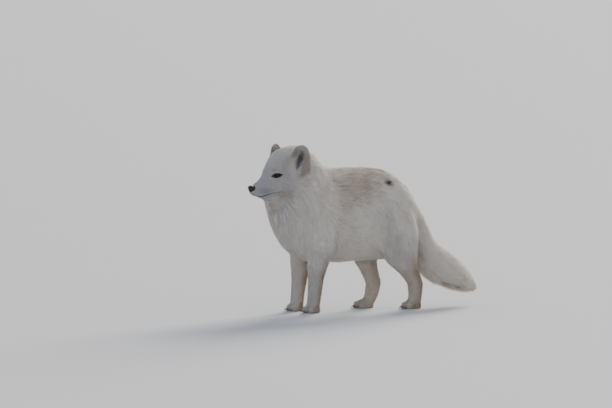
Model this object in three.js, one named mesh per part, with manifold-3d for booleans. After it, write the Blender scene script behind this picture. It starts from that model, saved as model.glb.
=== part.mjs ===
// A life-size arctic fox in its winter coat, standing still, as solids out to the tips of the coat.
// Millimetres, +Z up. The fox faces -X and its left side is towards -Y. The floor is at z = 0.
// The body is modelled whole from lofts: rings of named sections joined along a line. Thin cuts then part it
// into head, neck, trunk, legs and tail.

import * as THREE from "three";
import { mergeVertices } from "three/addons/utils/BufferGeometryUtils.js";
import Module from "manifold-3d";

const wasm = await Module();
wasm.setup();

// ---------------------------------------------------------------- driving dimensions
const BACK_HEIGHT = 328; // floor to the coat over the loins
const BELLY_HEIGHT = 114; // floor to the coat under the belly
const TRUNK_HALF_WIDTH = 79;
const RUMP_X = 150; // rear end of the full trunk, before its round cap
const FRONT_FOOT = { y: 36, x: { left: -119, right: -121 } };
const HIND_FOOT = { y: 38, x: { left: 150, right: 67 } }; // the right hind foot stands forward
const HEAD_X = -164; // the head's own origin, midway between the ear tips
const HEAD_TURN = THREE.MathUtils.degToRad(4); // the face turns a little to the fox's left
const NOSE = { x: -107, z: 287, halfWidth: 8.6 }; // its tip, in the head's own frame
const EYE = { x: -44.5, y: 22.5, z: 315.5, radius: 9.5 };
const EAR = { x: 0, y: 51.5, z: 321, length: 64, halfWidth: 24 };
const TAIL_RADIUS = 39; // at the thickest of the brush

const GAP = 0.36; // between neighbouring solids
const REACH = 500; // cutters run right through the body

const SIDES = { left: -1, right: 1 };

// ---------------------------------------------------------------- finishes
const coat = (colour) => new THREE.MeshStandardMaterial({ color: colour, roughness: 0.9, metalness: 0 });
const WHITE_COAT = coat(0xe6e3dc);
const BACK_COAT = coat(0xdcd3c8);
const LEG_COAT = coat(0xded9d0);
const EAR_COAT = coat(0xcfc4b4);
const NOSE_LEATHER = new THREE.MeshStandardMaterial({ color: 0x14120f, roughness: 0.45, metalness: 0 });
const EYE_GLOSS = new THREE.MeshStandardMaterial({ color: 0x1a0f08, roughness: 0.08, metalness: 0 });

// ---------------------------------------------------------------- solids
// A closed geometry as a solid that faces out.
function solidOf(geometry, matrix = new THREE.Matrix4()) {
  const bare = geometry.clone().applyMatrix4(matrix);
  bare.deleteAttribute("normal");
  bare.deleteAttribute("uv");
  const merged = mergeVertices(bare, 1e-3);
  const vertProperties = new Float32Array(merged.attributes.position.array);
  const triVerts = new Uint32Array(merged.index.array);
  const make = () => new wasm.Manifold(new wasm.Mesh({ numProp: 3, vertProperties, triVerts }));
  const made = make();
  if (made.volume() > 0) return made;
  for (let i = 0; i < triVerts.length; i += 3) {
    [triVerts[i], triVerts[i + 1]] = [triVerts[i + 1], triVerts[i]];
  }
  return make();
}

const moved = (solid, matrix) => solid.transform(matrix.elements);

// Only the largest body of a solid: a cut can leave crumbs.
const largest = (solid) => solid.decompose().sort((a, b) => b.volume() - a.volume())[0];

// A section of a loft runs from point a to point b, its half width is square to that, and it is widest at the
// share "at" of the way from a to b. Exponent 2 gives an ellipse, more is boxier.
const section = (a, b, wide, { at = 0.5, boxy = 2 } = {}) => ({ a, b, wide, at, boxy });

// The smooth solid through the sections, with a round cap of the given length beyond each end.
const LOFT = { sides: 16, caps: [10, 10], capRings: 2, side: [0, 1, 0], grow: 0 };
function loft(sections, options) {
  const { sides, caps, capRings, side, grow } = { ...LOFT, ...options };
  const curve = (pick) => new THREE.CatmullRomCurve3(sections.map((s) => new THREE.Vector3(...pick(s))));
  const aLine = curve((s) => s.a);
  const bLine = curve((s) => s.b);
  const sizes = curve((s) => [s.wide, s.at, s.boxy]);
  const across = new THREE.Vector3(...side);
  const vertices = [];

  const ring = (t, shift, scale) => {
    const a = aLine.getPoint(t);
    const b = bLine.getPoint(t);
    const [wide, at, boxy] = sizes.getPoint(t).toArray();
    const centre = a.clone().lerp(b, at).add(shift);
    const rise = a.clone().sub(b).normalize();
    const length = a.distanceTo(b);
    for (let k = 0; k < sides; k++) {
      const angle = (2 * Math.PI * (k + 0.5)) / sides;
      const [c, s] = [Math.cos(angle), Math.sin(angle)];
      const reach = s > 0 ? at * length : (1 - at) * length;
      const out = (wide + grow) * Math.sign(c) * Math.abs(c) ** (2 / boxy);
      const up = (reach + grow) * Math.sign(s) * Math.abs(s) ** (2 / boxy);
      vertices.push(centre.clone().addScaledVector(across, out * scale).addScaledVector(rise, up * scale));
    }
  };
  const middle = (t) => aLine.getPoint(t).lerp(bLine.getPoint(t), sizes.getPoint(t).y);
  const nudge = 0.02;
  const ends = [
    { t: 0, out: middle(0).sub(middle(nudge)).normalize(), cap: caps[0] + grow },
    { t: 1, out: middle(1).sub(middle(1 - nudge)).normalize(), cap: caps[1] + grow },
  ];
  const capRing = ({ t, out, cap }, i) => {
    const angle = (i / (capRings + 1)) * (Math.PI / 2);
    ring(t, out.clone().multiplyScalar(cap * Math.sin(angle)), Math.cos(angle));
  };
  const pole = ({ t, out, cap }) => vertices.push(middle(t).addScaledVector(out, cap));

  pole(ends[0]);
  for (let i = capRings; i > 0; i--) capRing(ends[0], i);
  const spans = sections.length - 1;
  for (let i = 0; i <= spans; i++) ring(i / spans, new THREE.Vector3(), 1);
  for (let i = 1; i <= capRings; i++) capRing(ends[1], i);
  pole(ends[1]);

  const faces = [];
  const rings = (vertices.length - 2) / sides;
  const at = (r, k) => 1 + r * sides + (k % sides);
  for (let k = 0; k < sides; k++) {
    faces.push(0, at(0, k + 1), at(0, k));
    for (let r = 0; r + 1 < rings; r++) {
      faces.push(at(r, k), at(r, k + 1), at(r + 1, k + 1));
      faces.push(at(r, k), at(r + 1, k + 1), at(r + 1, k));
    }
    faces.push(vertices.length - 1, at(rings - 1, k), at(rings - 1, k + 1));
  }
  const geometry = new THREE.BufferGeometry().setFromPoints(vertices);
  geometry.setIndex(faces);
  return solidOf(geometry);
}

// Sections square to a line of points in a plane of constant y, each with its radius.
function alongLine(points) {
  return points.map(({ x, y = 0, z, radius, wide = radius }, i) => {
    const before = points[Math.max(i - 1, 0)];
    const after = points[Math.min(i + 1, points.length - 1)];
    const square = new THREE.Vector2(before.z - after.z, after.x - before.x).setLength(radius);
    return section([x + square.x, y, z + square.y], [x - square.x, y, z - square.y], wide);
  });
}

function ellipsoid(centre, radii, { turn = [0, 0, 0], detail = [16, 10], grow = 0 } = {}) {
  const matrix = new THREE.Matrix4().compose(
    new THREE.Vector3(...centre),
    new THREE.Quaternion().setFromEuler(new THREE.Euler(...turn)),
    new THREE.Vector3(...radii.map((r) => r + grow)),
  );
  return solidOf(new THREE.SphereGeometry(1, ...detail), matrix);
}

// All the space on one side of a plane through a point of the middle plane. The plane's normal points into
// that space and leans "lean" up from +X.
function space(x, z, lean, offset = 0) {
  const block = new THREE.BoxGeometry(2 * REACH, 2 * REACH, 2 * REACH).translate(REACH + offset, 0, 0);
  const place = new THREE.Matrix4().makeRotationY(-lean).setPosition(x, 0, z);
  return solidOf(block, place);
}
const UP = Math.PI / 2;
const above = (z, offset = 0) => space(0, z, UP, offset);
const below = (z, offset = 0) => space(0, z, -UP, offset);

// ---------------------------------------------------------------- trunk and neck
const trunkSection = (x, top, bottom, wide) => section([x, 0, top], [x, 0, bottom], wide, { boxy: 2.1 });
const TRUNK = [
  trunkSection(-118, BACK_HEIGHT - 60, BELLY_HEIGHT + 16, 58),
  trunkSection(-84, BACK_HEIGHT - 9, BELLY_HEIGHT, 69),
  trunkSection(-44, BACK_HEIGHT - 1, BELLY_HEIGHT - 2, 75),
  trunkSection(0, BACK_HEIGHT, BELLY_HEIGHT, TRUNK_HALF_WIDTH),
  trunkSection(44, BACK_HEIGHT - 1, BELLY_HEIGHT + 2, TRUNK_HALF_WIDTH),
  trunkSection(80, BACK_HEIGHT - 6, BELLY_HEIGHT + 1, 75),
  trunkSection(110, BACK_HEIGHT - 19, BELLY_HEIGHT + 10, 67),
  trunkSection(134, BACK_HEIGHT - 37, BELLY_HEIGHT + 26, 56),
  trunkSection(RUMP_X, BACK_HEIGHT - 57, BELLY_HEIGHT + 44, 44),
];
const trunkLoft = (grow) => loft(TRUNK, { sides: 20, caps: [30, 17], grow });

// The neck's sections lean: each runs from the nape down and forward to the breast.
const neckSection = (napeX, napeZ, breastX, breastZ, wide) => (
  section([napeX, 0, napeZ], [breastX, 0, breastZ], wide)
);
const NECK = [
  neckSection(-34, 326, -84, 118, 66),
  neckSection(-62, 330, -128, 117, 65),
  neckSection(-78, 333, -168, 143, 67),
  neckSection(-88, 343, -191, 180, 72),
  neckSection(-97, 354, -206, 216, 73),
  neckSection(-109, 365, -217, 246, 66),
];
const neckLoft = (grow) => loft(NECK, { sides: 18, caps: [20, 26], grow });
const HEAD_CUT = { x: -158, z: 303, lean: THREE.MathUtils.degToRad(-40) };
const NECK_CUT = { x: -102, z: 228, lean: THREE.MathUtils.degToRad(-22) };

// ---------------------------------------------------------------- head, in its own frame
const head = new THREE.Group();
head.position.set(HEAD_X, 0, 0);
head.rotation.z = HEAD_TURN;
head.updateMatrix();

// A section of the head: its top, its bottom, the height where it is widest, and its half width there.
function headSection(x, top, bottom, widest, wide, boxy = 2) {
  return section([x, 0, top], [x, 0, bottom], wide, { at: (top - widest) / (top - bottom), boxy });
}
const HEAD = [
  headSection(-96, 294, 270, 280, 10.5, 2.2),
  headSection(-86, 300, 266, 277, 14.5, 2.3),
  headSection(-75, 308, 262, 276, 18.5, 2.3),
  headSection(-65, 318, 258, 279, 24, 2.2),
  headSection(-54, 337, 254, 284, 32, 2.3),
  headSection(-42, 354, 251, 288, 44, 2.4),
  headSection(-26, 370, 248, 290, 57, 2.5),
  headSection(-6, 378, 246, 290, 63, 2.4),
  headSection(16, 382, 246, 291, 66, 2.3),
  headSection(38, 377, 250, 296, 60, 2.1),
];
const skullLoft = (grow) => moved(loft(HEAD, { sides: 20, caps: [9, 26], grow }), head.matrix);

// The side view of the space under the line of the mouth, run right across the head.
const MOUTH_LINE = [
  [-118, 284], [-106, 279.5], [-97, 272.5], [-86, 268.5], [-74, 270], [-60, 274], [-46, 278],
];
const MOUTH_FLOOR = 200;
function underMouth(inset) {
  const line = new THREE.SplineCurve(MOUTH_LINE.map(([x, z]) => new THREE.Vector2(x, z - inset)));
  const [corner] = MOUTH_LINE.at(-1);
  const [front] = MOUTH_LINE[0];
  const outline = new THREE.Shape(line.getPoints(14));
  outline.lineTo(corner - inset, MOUTH_FLOOR);
  outline.lineTo(front, MOUTH_FLOOR);
  const block = new THREE.ExtrudeGeometry(outline, { depth: 2 * REACH, bevelEnabled: false });
  // The shape's x and y become the head's x and z.
  const stand = new THREE.Matrix4().makeRotationX(Math.PI / 2).setPosition(0, REACH, 0);
  return solidOf(block, head.matrix.clone().multiply(stand));
}
// The lower jaw is narrower than the muzzle in front and lies between the cheeks behind.
const JAW = [
  headSection(-106, 290, 266, 279, 16),
  headSection(-84, 290, 260, 276, 19),
  headSection(-70, 290, 256, 275, 21),
  headSection(-52, 290, 254, 274, 19),
];
const JAW_INSET = 1.5;
const jawSpace = (grow) => moved(loft(JAW, { sides: 12, caps: [6, 5], capRings: 1, grow }), head.matrix);

const NOSE_SECTIONS = [
  { x: 2, up: 5, down: 6.2, wide: 0.76 },
  { x: 6, up: 6.6, down: 9.4, wide: 1 },
  { x: 11, up: 6, down: 8.2, wide: 0.94 },
  { x: 16, up: 3, down: 4.6, wide: 0.6 },
].map(({ x, up, down, wide }) => (
  headSection(NOSE.x + x, NOSE.z + up, NOSE.z - down, NOSE.z, wide * NOSE.halfWidth)
));
const noseLoft = (grow) => moved(loft(NOSE_SECTIONS, { sides: 12, caps: [2, 3], grow }), head.matrix);

// An eyeball, and the almond-shaped opening of the lids in front of it.
const EYE_OUTWARD = THREE.MathUtils.degToRad(46); // how far the eye looks out from straight ahead
const EYE_SLANT = 0.12;
const LIDS = { halfLength: 13, halfHeight: 6, depth: 9, forward: 8 };
function eyeball(side, grow) {
  const radii = [EYE.radius, EYE.radius, EYE.radius];
  return moved(ellipsoid([EYE.x, side * EYE.y, EYE.z], radii, { detail: [12, 8], grow }), head.matrix);
}
function lidOpening(side) {
  const turn = side * (EYE_OUTWARD - Math.PI / 2);
  const centre = [
    EYE.x - LIDS.forward * Math.cos(EYE_OUTWARD),
    side * (EYE.y + LIDS.forward * Math.sin(EYE_OUTWARD)),
    EYE.z,
  ];
  const radii = [LIDS.halfLength, LIDS.depth, LIDS.halfHeight];
  return moved(ellipsoid(centre, radii, { turn: [0, EYE_SLANT, turn], detail: [10, 6] }), head.matrix);
}

// ---------------------------------------------------------------- ears
// An ear's own frame: z runs from its root to its tip, x across it, and it opens towards -y.
const EAR_LEAN_OUT = THREE.MathUtils.degToRad(2);
// Each ear turns by itself: the left one listens to the side, the right one more ahead.
const EAR_FACES_OUT = { left: THREE.MathUtils.degToRad(34), right: THREE.MathUtils.degToRad(10) };
function earSection(share, wide, thick, offset = 0) {
  const z = share * EAR.length;
  return section([0, offset + thick, z], [0, offset - thick, z], wide * EAR.halfWidth);
}
const EAR_SECTIONS = [
  earSection(-0.04, 0.76, 10),
  earSection(0.14, 0.92, 12),
  earSection(0.34, 1, 11.5),
  earSection(0.56, 0.97, 10),
  earSection(0.76, 0.82, 8.5, 1),
];
const EAR_HOLLOW = [
  earSection(0.2, 0.44, 8, -10),
  earSection(0.4, 0.66, 9.5, -9.5),
  earSection(0.62, 0.6, 8.5, -8.5),
];
function earMatrix(side) {
  const lean = new THREE.Matrix4().makeRotationX(-side * EAR_LEAN_OUT);
  const outward = side === SIDES.left ? EAR_FACES_OUT.left : EAR_FACES_OUT.right;
  const turn = new THREE.Matrix4().makeRotationZ(-side * outward - Math.PI / 2);
  const place = new THREE.Matrix4().makeTranslation(EAR.x, side * EAR.y, EAR.z);
  return head.matrix.clone().multiply(place).multiply(lean).multiply(turn);
}
function ear(side, grow) {
  const whole = loft(EAR_SECTIONS, { sides: 12, caps: [6, 15], side: [1, 0, 0], grow });
  return moved(whole, earMatrix(side));
}
function earHollow(side) {
  return moved(loft(EAR_HOLLOW, { sides: 10, caps: [10, 14], side: [1, 0, 0] }), earMatrix(side));
}

// ---------------------------------------------------------------- legs
// A level section of a leg: x is measured from its foot, "wide" from side to side, "deep" fore and aft.
function limbSection(foot, out, x, z, wide, deep) {
  return section([foot - x - deep, out, z], [foot - x + deep, out, z], wide);
}
const FRONT_LEG = (name, s) => {
  const foot = FRONT_FOOT.x[name];
  const y = s * FRONT_FOOT.y;
  return [
    limbSection(foot, s * 26, -26, 250, 18, 22),
    limbSection(foot, s * 43, -23, 208, 25, 38),
    limbSection(foot, s * 46, -19, 165, 27, 38),
    limbSection(foot, s * 40, -16, 130, 23.5, 28),
    limbSection(foot, y, -11, 104, 21, 24.5),
    limbSection(foot, y, -7.5, 76, 17.5, 19.5),
    limbSection(foot, y, -4, 46, 16, 17),
    limbSection(foot, y, 0, 14, 15.5, 16),
  ];
};
const HIND_LEG = {
  left: (s) => {
    const foot = HIND_FOOT.x.left;
    const y = s * HIND_FOOT.y;
    return [
      limbSection(foot, s * 28, 66, 272, 18, 26),
      limbSection(foot, s * 50, 63, 224, 28, 52),
      limbSection(foot, s * 53, 58, 178, 30, 57),
      limbSection(foot, s * 45, 50, 138, 26, 52),
      limbSection(foot, s * 42, 34, 106, 22, 37),
      limbSection(foot, s * 40, 12, 80, 18.5, 25),
      limbSection(foot, s * 39, -2, 58, 16.5, 19.5),
      limbSection(foot, y, -3, 34, 15.5, 17),
      limbSection(foot, y, 0, 14, 15, 16.5),
    ];
  },
  right: (s) => {
    const foot = HIND_FOOT.x.right;
    const y = s * HIND_FOOT.y;
    return [
      limbSection(foot, s * 28, 2, 272, 18, 26),
      limbSection(foot, s * 50, 0, 224, 28, 50),
      limbSection(foot, s * 53, -4, 178, 30, 54),
      limbSection(foot, s * 45, -5, 138, 26, 46),
      limbSection(foot, s * 42, 0, 106, 22, 27),
      limbSection(foot, s * 40, -11, 80, 18.5, 22),
      limbSection(foot, s * 39, -19, 58, 16.5, 19.5),
      limbSection(foot, y, -14, 32, 15.5, 17.5),
      limbSection(foot, y, -5, 14, 15, 16.5),
    ];
  },
};

// A paw: a low furry pad with four toes, each with a claw that just shows. Its leg stands on x = foot.
const TOES = [
  { out: -0.66, back: 7 },
  { out: -0.24, back: 0 },
  { out: 0.24, back: 0 },
  { out: 0.66, back: 7 },
];
const TOE = { halfLength: 12, height: 8.5 };
const CLAW = { radius: 2, length: 9, sides: 4, height: 5.4, tip: THREE.MathUtils.degToRad(112) };
function paw(foot, y, { ahead, behind, wide }) {
  const tip = foot - ahead;
  const pad = [
    section([foot + behind - 6, y, 20], [foot + behind - 6, y, -6], 0.66 * wide),
    section([foot - 6, y, 23.5], [foot - 6, y, -6], 0.86 * wide),
    section([tip + 17, y, 20], [tip + 17, y, -6], wide),
    section([tip + 8, y, 15], [tip + 8, y, -5], 0.84 * wide),
  ];
  let made = loft(pad, { sides: 10, caps: [6, 5], capRings: 1 });
  for (const { out, back } of TOES) {
    const at = [tip + back + TOE.halfLength, y + out * wide, TOE.height];
    made = made.add(ellipsoid(at, [TOE.halfLength, 0.31 * wide, TOE.height + 1], { detail: [6, 4] }));
    // The cone stands on the toe and tips forward and down.
    const claw = new THREE.ConeGeometry(CLAW.radius, CLAW.length, CLAW.sides).rotateZ(CLAW.tip);
    const root = new THREE.Matrix4().makeTranslation(at[0] - 0.9 * TOE.halfLength, at[1], CLAW.height);
    const stand = new THREE.Matrix4().makeRotationX(Math.PI / 2);
    made = made.add(solidOf(claw, root.multiply(stand)));
  }
  return made.intersect(above(0));
}
const FRONT_PAW = { ahead: 27, behind: 17, wide: 18.5 };
const HIND_PAW = { ahead: 35, behind: 17, wide: 17.5 };

// Heights of the cuts down each leg, and the oval cut that parts its upper length from the trunk.
const FRONT_CUTS = [120, 26];
const HIND_CUTS = [112, 62, 26];
const FRONT_SOCKET = { x: -98, y: 62, z: 160, radii: [46, 46, 70] };
const HIND_SOCKET = { x: { left: 92, right: 72 }, y: 64, z: 172, radii: [66, 54, 88] };

// ---------------------------------------------------------------- tail
const TAIL = alongLine([
  { x: 120, z: 268, radius: 22 },
  { x: 147, z: 240, radius: 24.5 },
  { x: 163, z: 211, radius: 27 },
  { x: 176, z: 178, radius: 29 },
  { x: 190, z: 143, radius: 32 },
  { x: 211, z: 113, radius: TAIL_RADIUS - 1.5 },
  { x: 239, z: 93.5, radius: TAIL_RADIUS },
  { x: 266, z: 79.5, radius: TAIL_RADIUS - 3 },
  { x: 292, z: 65, radius: 29 },
  { x: 314, z: 52, radius: 21 },
  { x: 331, z: 44, radius: 12 },
]);
const tailLoft = (grow) => loft(TAIL, { sides: 14, caps: [10, 8], grow });
const TAIL_CUT = { x: 190, z: 146, lean: THREE.MathUtils.degToRad(-60) }; // where the brush fills out

// ---------------------------------------------------------------- parting the whole
const solids = new Map();

const legs = [];
for (const [name, s] of Object.entries(SIDES)) {
  const rows = [
    {
      line: FRONT_LEG(name, s), cuts: FRONT_CUTS, foot: FRONT_FOOT, paw: FRONT_PAW,
      parts: ["shoulder", "forearm", "front_paw"],
      socket: { centre: [FRONT_SOCKET.x, s * FRONT_SOCKET.y, FRONT_SOCKET.z], radii: FRONT_SOCKET.radii },
    },
    {
      line: HIND_LEG[name](s), cuts: HIND_CUTS, foot: HIND_FOOT, paw: HIND_PAW,
      parts: ["thigh", "shank", "metatarsus", "hind_paw"],
      socket: { centre: [HIND_SOCKET.x[name], s * HIND_SOCKET.y, HIND_SOCKET.z], radii: HIND_SOCKET.radii },
    },
  ];
  for (const row of rows) legs.push({ name, side: s, ...row });
}
const legLoft = (leg, grow) => loft(leg.line, { sides: 12, caps: [12, 6], grow });

const join = (list) => list.reduce((whole, next) => whole.add(next));
function wholeBody(grow) {
  const upperLegs = legs.map((leg) => legLoft(leg, grow).intersect(above(leg.cuts[0])));
  return join([trunkLoft(grow), neckLoft(grow), skullLoft(grow), ...upperLegs]);
}
let body = wholeBody(0);
const bodyRoom = wholeBody(GAP);

for (const leg of legs) {
  const [top, ...lower] = leg.cuts;
  const bottom = lower.at(-1);
  const nameOf = (i) => `${leg.parts[i]}_${leg.name}`;
  const socket = (grow) => (
    ellipsoid(leg.socket.centre, leg.socket.radii, { detail: [12, 8], grow }).intersect(above(top, -grow))
  );
  solids.set(nameOf(0), largest(body.intersect(socket(0))));
  body = body.subtract(socket(GAP)).subtract(legLoft(leg, GAP).intersect(below(top, -GAP)));

  let shaft = legLoft(leg, 0).intersect(below(top, GAP));
  for (let i = 0; i < lower.length; i++) {
    solids.set(nameOf(i + 1), largest(shaft.intersect(above(lower[i], GAP / 2))));
    shaft = shaft.intersect(below(lower[i], GAP / 2));
  }
  const foot = paw(leg.foot.x[leg.name], leg.side * leg.foot.y, leg.paw).add(shaft.intersect(above(0)));
  solids.set(nameOf(leg.parts.length - 1), foot.intersect(below(bottom, GAP / 2)));
}

const atCut = ({ x, z, lean }, offset) => space(x, z, lean, offset);
const atBack = ({ x, z, lean }, offset) => space(x, z, lean + Math.PI, offset);
solids.set("trunk", largest(body.intersect(atCut(NECK_CUT, GAP / 2))));
const front = body.intersect(atBack(NECK_CUT, GAP / 2));
solids.set("neck", largest(front.intersect(atCut(HEAD_CUT, GAP / 2))));

let headSolid = front.intersect(atBack(HEAD_CUT, GAP / 2));
headSolid = headSolid.subtract(jawSpace(GAP).intersect(underMouth(0))).subtract(noseLoft(GAP));
for (const [name, s] of Object.entries(SIDES)) {
  headSolid = headSolid.subtract(eyeball(s, GAP)).subtract(lidOpening(s)).subtract(earHollow(s));
  solids.set(`eye_${name}`, eyeball(s, 0));
  solids.set(`ear_${name}`, largest(ear(s, 0).subtract(earHollow(s)).subtract(bodyRoom)));
}
solids.set("head", largest(headSolid));
solids.set("nose", noseLoft(0));
solids.set("lower_jaw", largest(skullLoft(-JAW_INSET).intersect(jawSpace(0)).intersect(underMouth(GAP))));

const tail = tailLoft(0).subtract(bodyRoom);
solids.set("tail_root", largest(tail.intersect(atBack(TAIL_CUT, GAP / 2))));
solids.set("tail_brush", largest(tail.intersect(atCut(TAIL_CUT, GAP / 2))));

// ---------------------------------------------------------------- the scene graph
const FINISH = [
  [/^nose$/, NOSE_LEATHER],
  [/^eye_/, EYE_GLOSS],
  [/^ear_/, EAR_COAT],
  [/^trunk$/, BACK_COAT],
  [/forearm|shank|metatarsus|paw/, LEG_COAT],
  [/./, WHITE_COAT],
];
const IN_HEAD = /^(head|lower_jaw|nose|eye_|ear_)/;

function meshOf(name, solid, parent) {
  const local = moved(solid, parent.matrix.clone().invert());
  const { vertProperties, triVerts, numProp } = local.getMesh();
  const points = new Float32Array((vertProperties.length / numProp) * 3);
  for (let i = 0; i < points.length / 3; i++) {
    points.set(vertProperties.subarray(i * numProp, i * numProp + 3), i * 3);
  }
  const geometry = new THREE.BufferGeometry();
  geometry.setAttribute("position", new THREE.BufferAttribute(points, 3));
  geometry.setIndex(new THREE.BufferAttribute(triVerts, 1));
  geometry.computeVertexNormals();
  const mesh = new THREE.Mesh(geometry, FINISH.find(([pattern]) => pattern.test(name))[1].clone());
  mesh.name = name;
  return mesh;
}

const figure = new THREE.Group();
figure.add(head);
for (const [name, solid] of solids) {
  const parent = IN_HEAD.test(name) ? head : figure;
  parent.add(meshOf(name, solid, parent));
}

// The origin is on the floor under the middle of the fox's box.
const middleOfBox = new THREE.Box3().setFromObject(figure, true).getCenter(new THREE.Vector3());
figure.position.set(-middleOfBox.x, -middleOfBox.y, 0);

const fox = new THREE.Group();
fox.add(figure);
export default fox;
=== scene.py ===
# A life-size arctic fox in its winter coat: skin, coat of tufts, eyes, nose, lips, whiskers and claws.
# Metres, +Z up. The fox faces -X and its left side is towards -Y. The floor is at z = 0.

import math

import bmesh
import bpy
import numpy as np
from bpy.props import FloatProperty, FloatVectorProperty, IntProperty, PointerProperty
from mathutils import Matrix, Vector
from mathutils.bvhtree import BVHTree
from mathutils.kdtree import KDTree


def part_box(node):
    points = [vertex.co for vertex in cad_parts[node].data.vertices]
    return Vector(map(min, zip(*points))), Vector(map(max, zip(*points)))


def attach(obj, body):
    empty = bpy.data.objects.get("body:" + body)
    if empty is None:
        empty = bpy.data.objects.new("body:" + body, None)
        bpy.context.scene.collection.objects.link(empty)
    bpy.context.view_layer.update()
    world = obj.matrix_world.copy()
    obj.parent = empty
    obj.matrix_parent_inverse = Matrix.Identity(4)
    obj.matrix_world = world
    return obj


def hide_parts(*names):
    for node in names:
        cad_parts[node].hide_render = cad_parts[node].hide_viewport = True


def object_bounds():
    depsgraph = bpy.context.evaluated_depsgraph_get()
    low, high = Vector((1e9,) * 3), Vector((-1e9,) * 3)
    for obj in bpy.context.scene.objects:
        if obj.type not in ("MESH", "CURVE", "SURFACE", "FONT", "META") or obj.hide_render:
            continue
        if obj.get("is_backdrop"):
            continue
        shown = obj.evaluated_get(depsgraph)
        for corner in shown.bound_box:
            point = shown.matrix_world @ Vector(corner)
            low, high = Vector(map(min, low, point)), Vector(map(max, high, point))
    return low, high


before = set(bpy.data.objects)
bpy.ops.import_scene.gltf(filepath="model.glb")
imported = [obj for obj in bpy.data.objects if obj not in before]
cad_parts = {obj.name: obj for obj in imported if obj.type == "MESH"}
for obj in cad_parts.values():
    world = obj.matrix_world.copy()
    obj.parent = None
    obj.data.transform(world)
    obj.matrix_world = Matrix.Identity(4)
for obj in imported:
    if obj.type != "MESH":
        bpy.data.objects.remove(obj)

bl_info = {
    "name": "Arctic fox",
    "version": (1, 0, 0),
    "blender": (4, 5, 0),
    "location": "3D View > Sidebar > Fox",
    "description": "Dresses the solids of a standing arctic fox in skin, coat, eyes, nose and claws",
    "category": "Object",
}

CAD_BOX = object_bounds()
BODY = "root"
MM = 0.001
UP = np.array([0.0, 0.0, 1.0])
DOWN = -UP
BACK = np.array([1.0, 0.0, 0.0])


# ---------------------------------------------------------------- places, from the solids
def corners(node):
    low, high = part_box(node)
    return np.array(low), np.array(high)


def middle(node):
    low, high = corners(node)
    return (low + high) / 2


def unit(v):
    v = np.asarray(v, float)
    return v / np.maximum(np.linalg.norm(v, axis=-1, keepdims=True), 1e-12)


def slope(node):
    """The way down a solid's length, seen from the side."""
    low, high = corners(node)
    return unit((high - low) * [1, 0, -1])


SIDES = ("left", "right")
EYES = {name: middle(f"eye_{name}") for name in SIDES}
EYE_RADIUS = float(corners("eye_left")[1][2] - corners("eye_left")[0][2]) / 2
BROW = (EYES["left"] + EYES["right"]) / 2  # midway between the eyes, the head's own origin
LEFT = unit((EYES["left"] - EYES["right"]) * [1, 1, 0])
AHEAD = np.cross(LEFT, UP)
HEAD_AXES = np.array([AHEAD, LEFT, UP])
NOSE_MIDDLE = middle("nose")
EARS = {name: middle(f"ear_{name}") for name in SIDES}
EAR_TURNS = {"left": math.radians(34), "right": math.radians(10)}  # how far each ear faces out from ahead
EAR_REACH = np.array([40, 40, 50]) * MM  # how far an ear's own markings reach from its middle
FLESH = [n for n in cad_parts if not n.startswith(("eye_", "nose"))]


def facing(name, turn):
    """The level way at a turn outwards from ahead, on one side, and the level way inwards across it."""
    side = LEFT if name == "left" else -LEFT
    return (unit(math.cos(turn) * AHEAD + math.sin(turn) * side),
            unit(math.sin(turn) * AHEAD - math.cos(turn) * side))


def in_ear(points, name):
    """How far points lie towards an ear's opening, towards the middle of the head, and above its middle."""
    opening, inwards = facing(name, EAR_TURNS[name])
    apart = points - EARS[name]
    return apart @ opening, apart @ inwards, apart[:, 2]


def in_head(points):
    """Points as how far they lie ahead of, left of and above the brow."""
    return (points - BROW) @ HEAD_AXES.T


def from_head(ahead, left, up):
    return BROW + np.stack(np.broadcast_arrays(ahead, left, up), -1) @ HEAD_AXES


# ---------------------------------------------------------------- sizes and colours
def size(name, description, millimetres):
    return FloatProperty(name=name, description=description, default=millimetres * MM, unit="LENGTH")


def angle(name, description, degrees):
    return FloatProperty(name=name, description=description, default=math.radians(degrees), subtype="ANGLE")


def colour(name, description, default):
    return FloatVectorProperty(name=name, description=description, default=default, subtype="COLOR", size=3)


def amount(name, description, default):
    return FloatProperty(name=name, description=description, default=default, min=0.0)


class FoxSkinSizes(bpy.types.PropertyGroup):
    voxel: size("Voxel", "Cell of the remesh that joins the solids", 2.5)
    trunk: size("Trunk coat", "Depth of the coat on the trunk", 19)
    neck: size("Neck coat", "Depth of the coat on the neck and breast", 23)
    upper_leg: size("Upper leg coat", "Depth of the coat on the shoulders and thighs", 15)
    lower_leg: size("Lower leg coat", "Depth of the coat on the lower legs", 4.5)
    paw: size("Paw coat", "Depth of the coat on the paws", 2)
    tail: size("Tail coat", "Depth of the coat on the tail", 19)
    crown: size("Crown coat", "Depth of the coat on the crown and cheeks", 9)
    face: size("Face coat", "Depth of the coat on the muzzle and round the eyes", 1.6)
    ear: size("Ear coat", "Depth of the coat on the ears", 1.6)


class FoxFaceSizes(bpy.types.PropertyGroup):
    eye_outward: angle("Eye outward", "How far an eye looks out from ahead", 46)
    eye_slant: angle("Eye slant", "How far the inner corner drops", 8)
    lid_length: size("Lid half length", "Half the length of the opening between the lids", 9.4)
    lid_height: size("Lid half height", "Half the height of the opening between the lids", 4.4)
    lid_thickness: size("Lid thickness", "How far the lids stand over the eyeball", 0.8)
    rim: size("Eye rim", "Width of the dark bare rim above and below the opening", 1.6)
    corner: size("Eye corner", "Length of the dark streaks in front of and behind the opening", 5.6)
    lip: size("Lip", "Radius of the dark lip at the front", 1.7)


class FoxCoatSizes(bpy.types.PropertyGroup):
    density: FloatProperty(name="Density", description="Share of the full number of tufts", default=1.0,
                           min=0.01, max=2.0)
    seed: IntProperty(name="Seed", description="Seed of all that is random in the coat", default=7)


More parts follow.
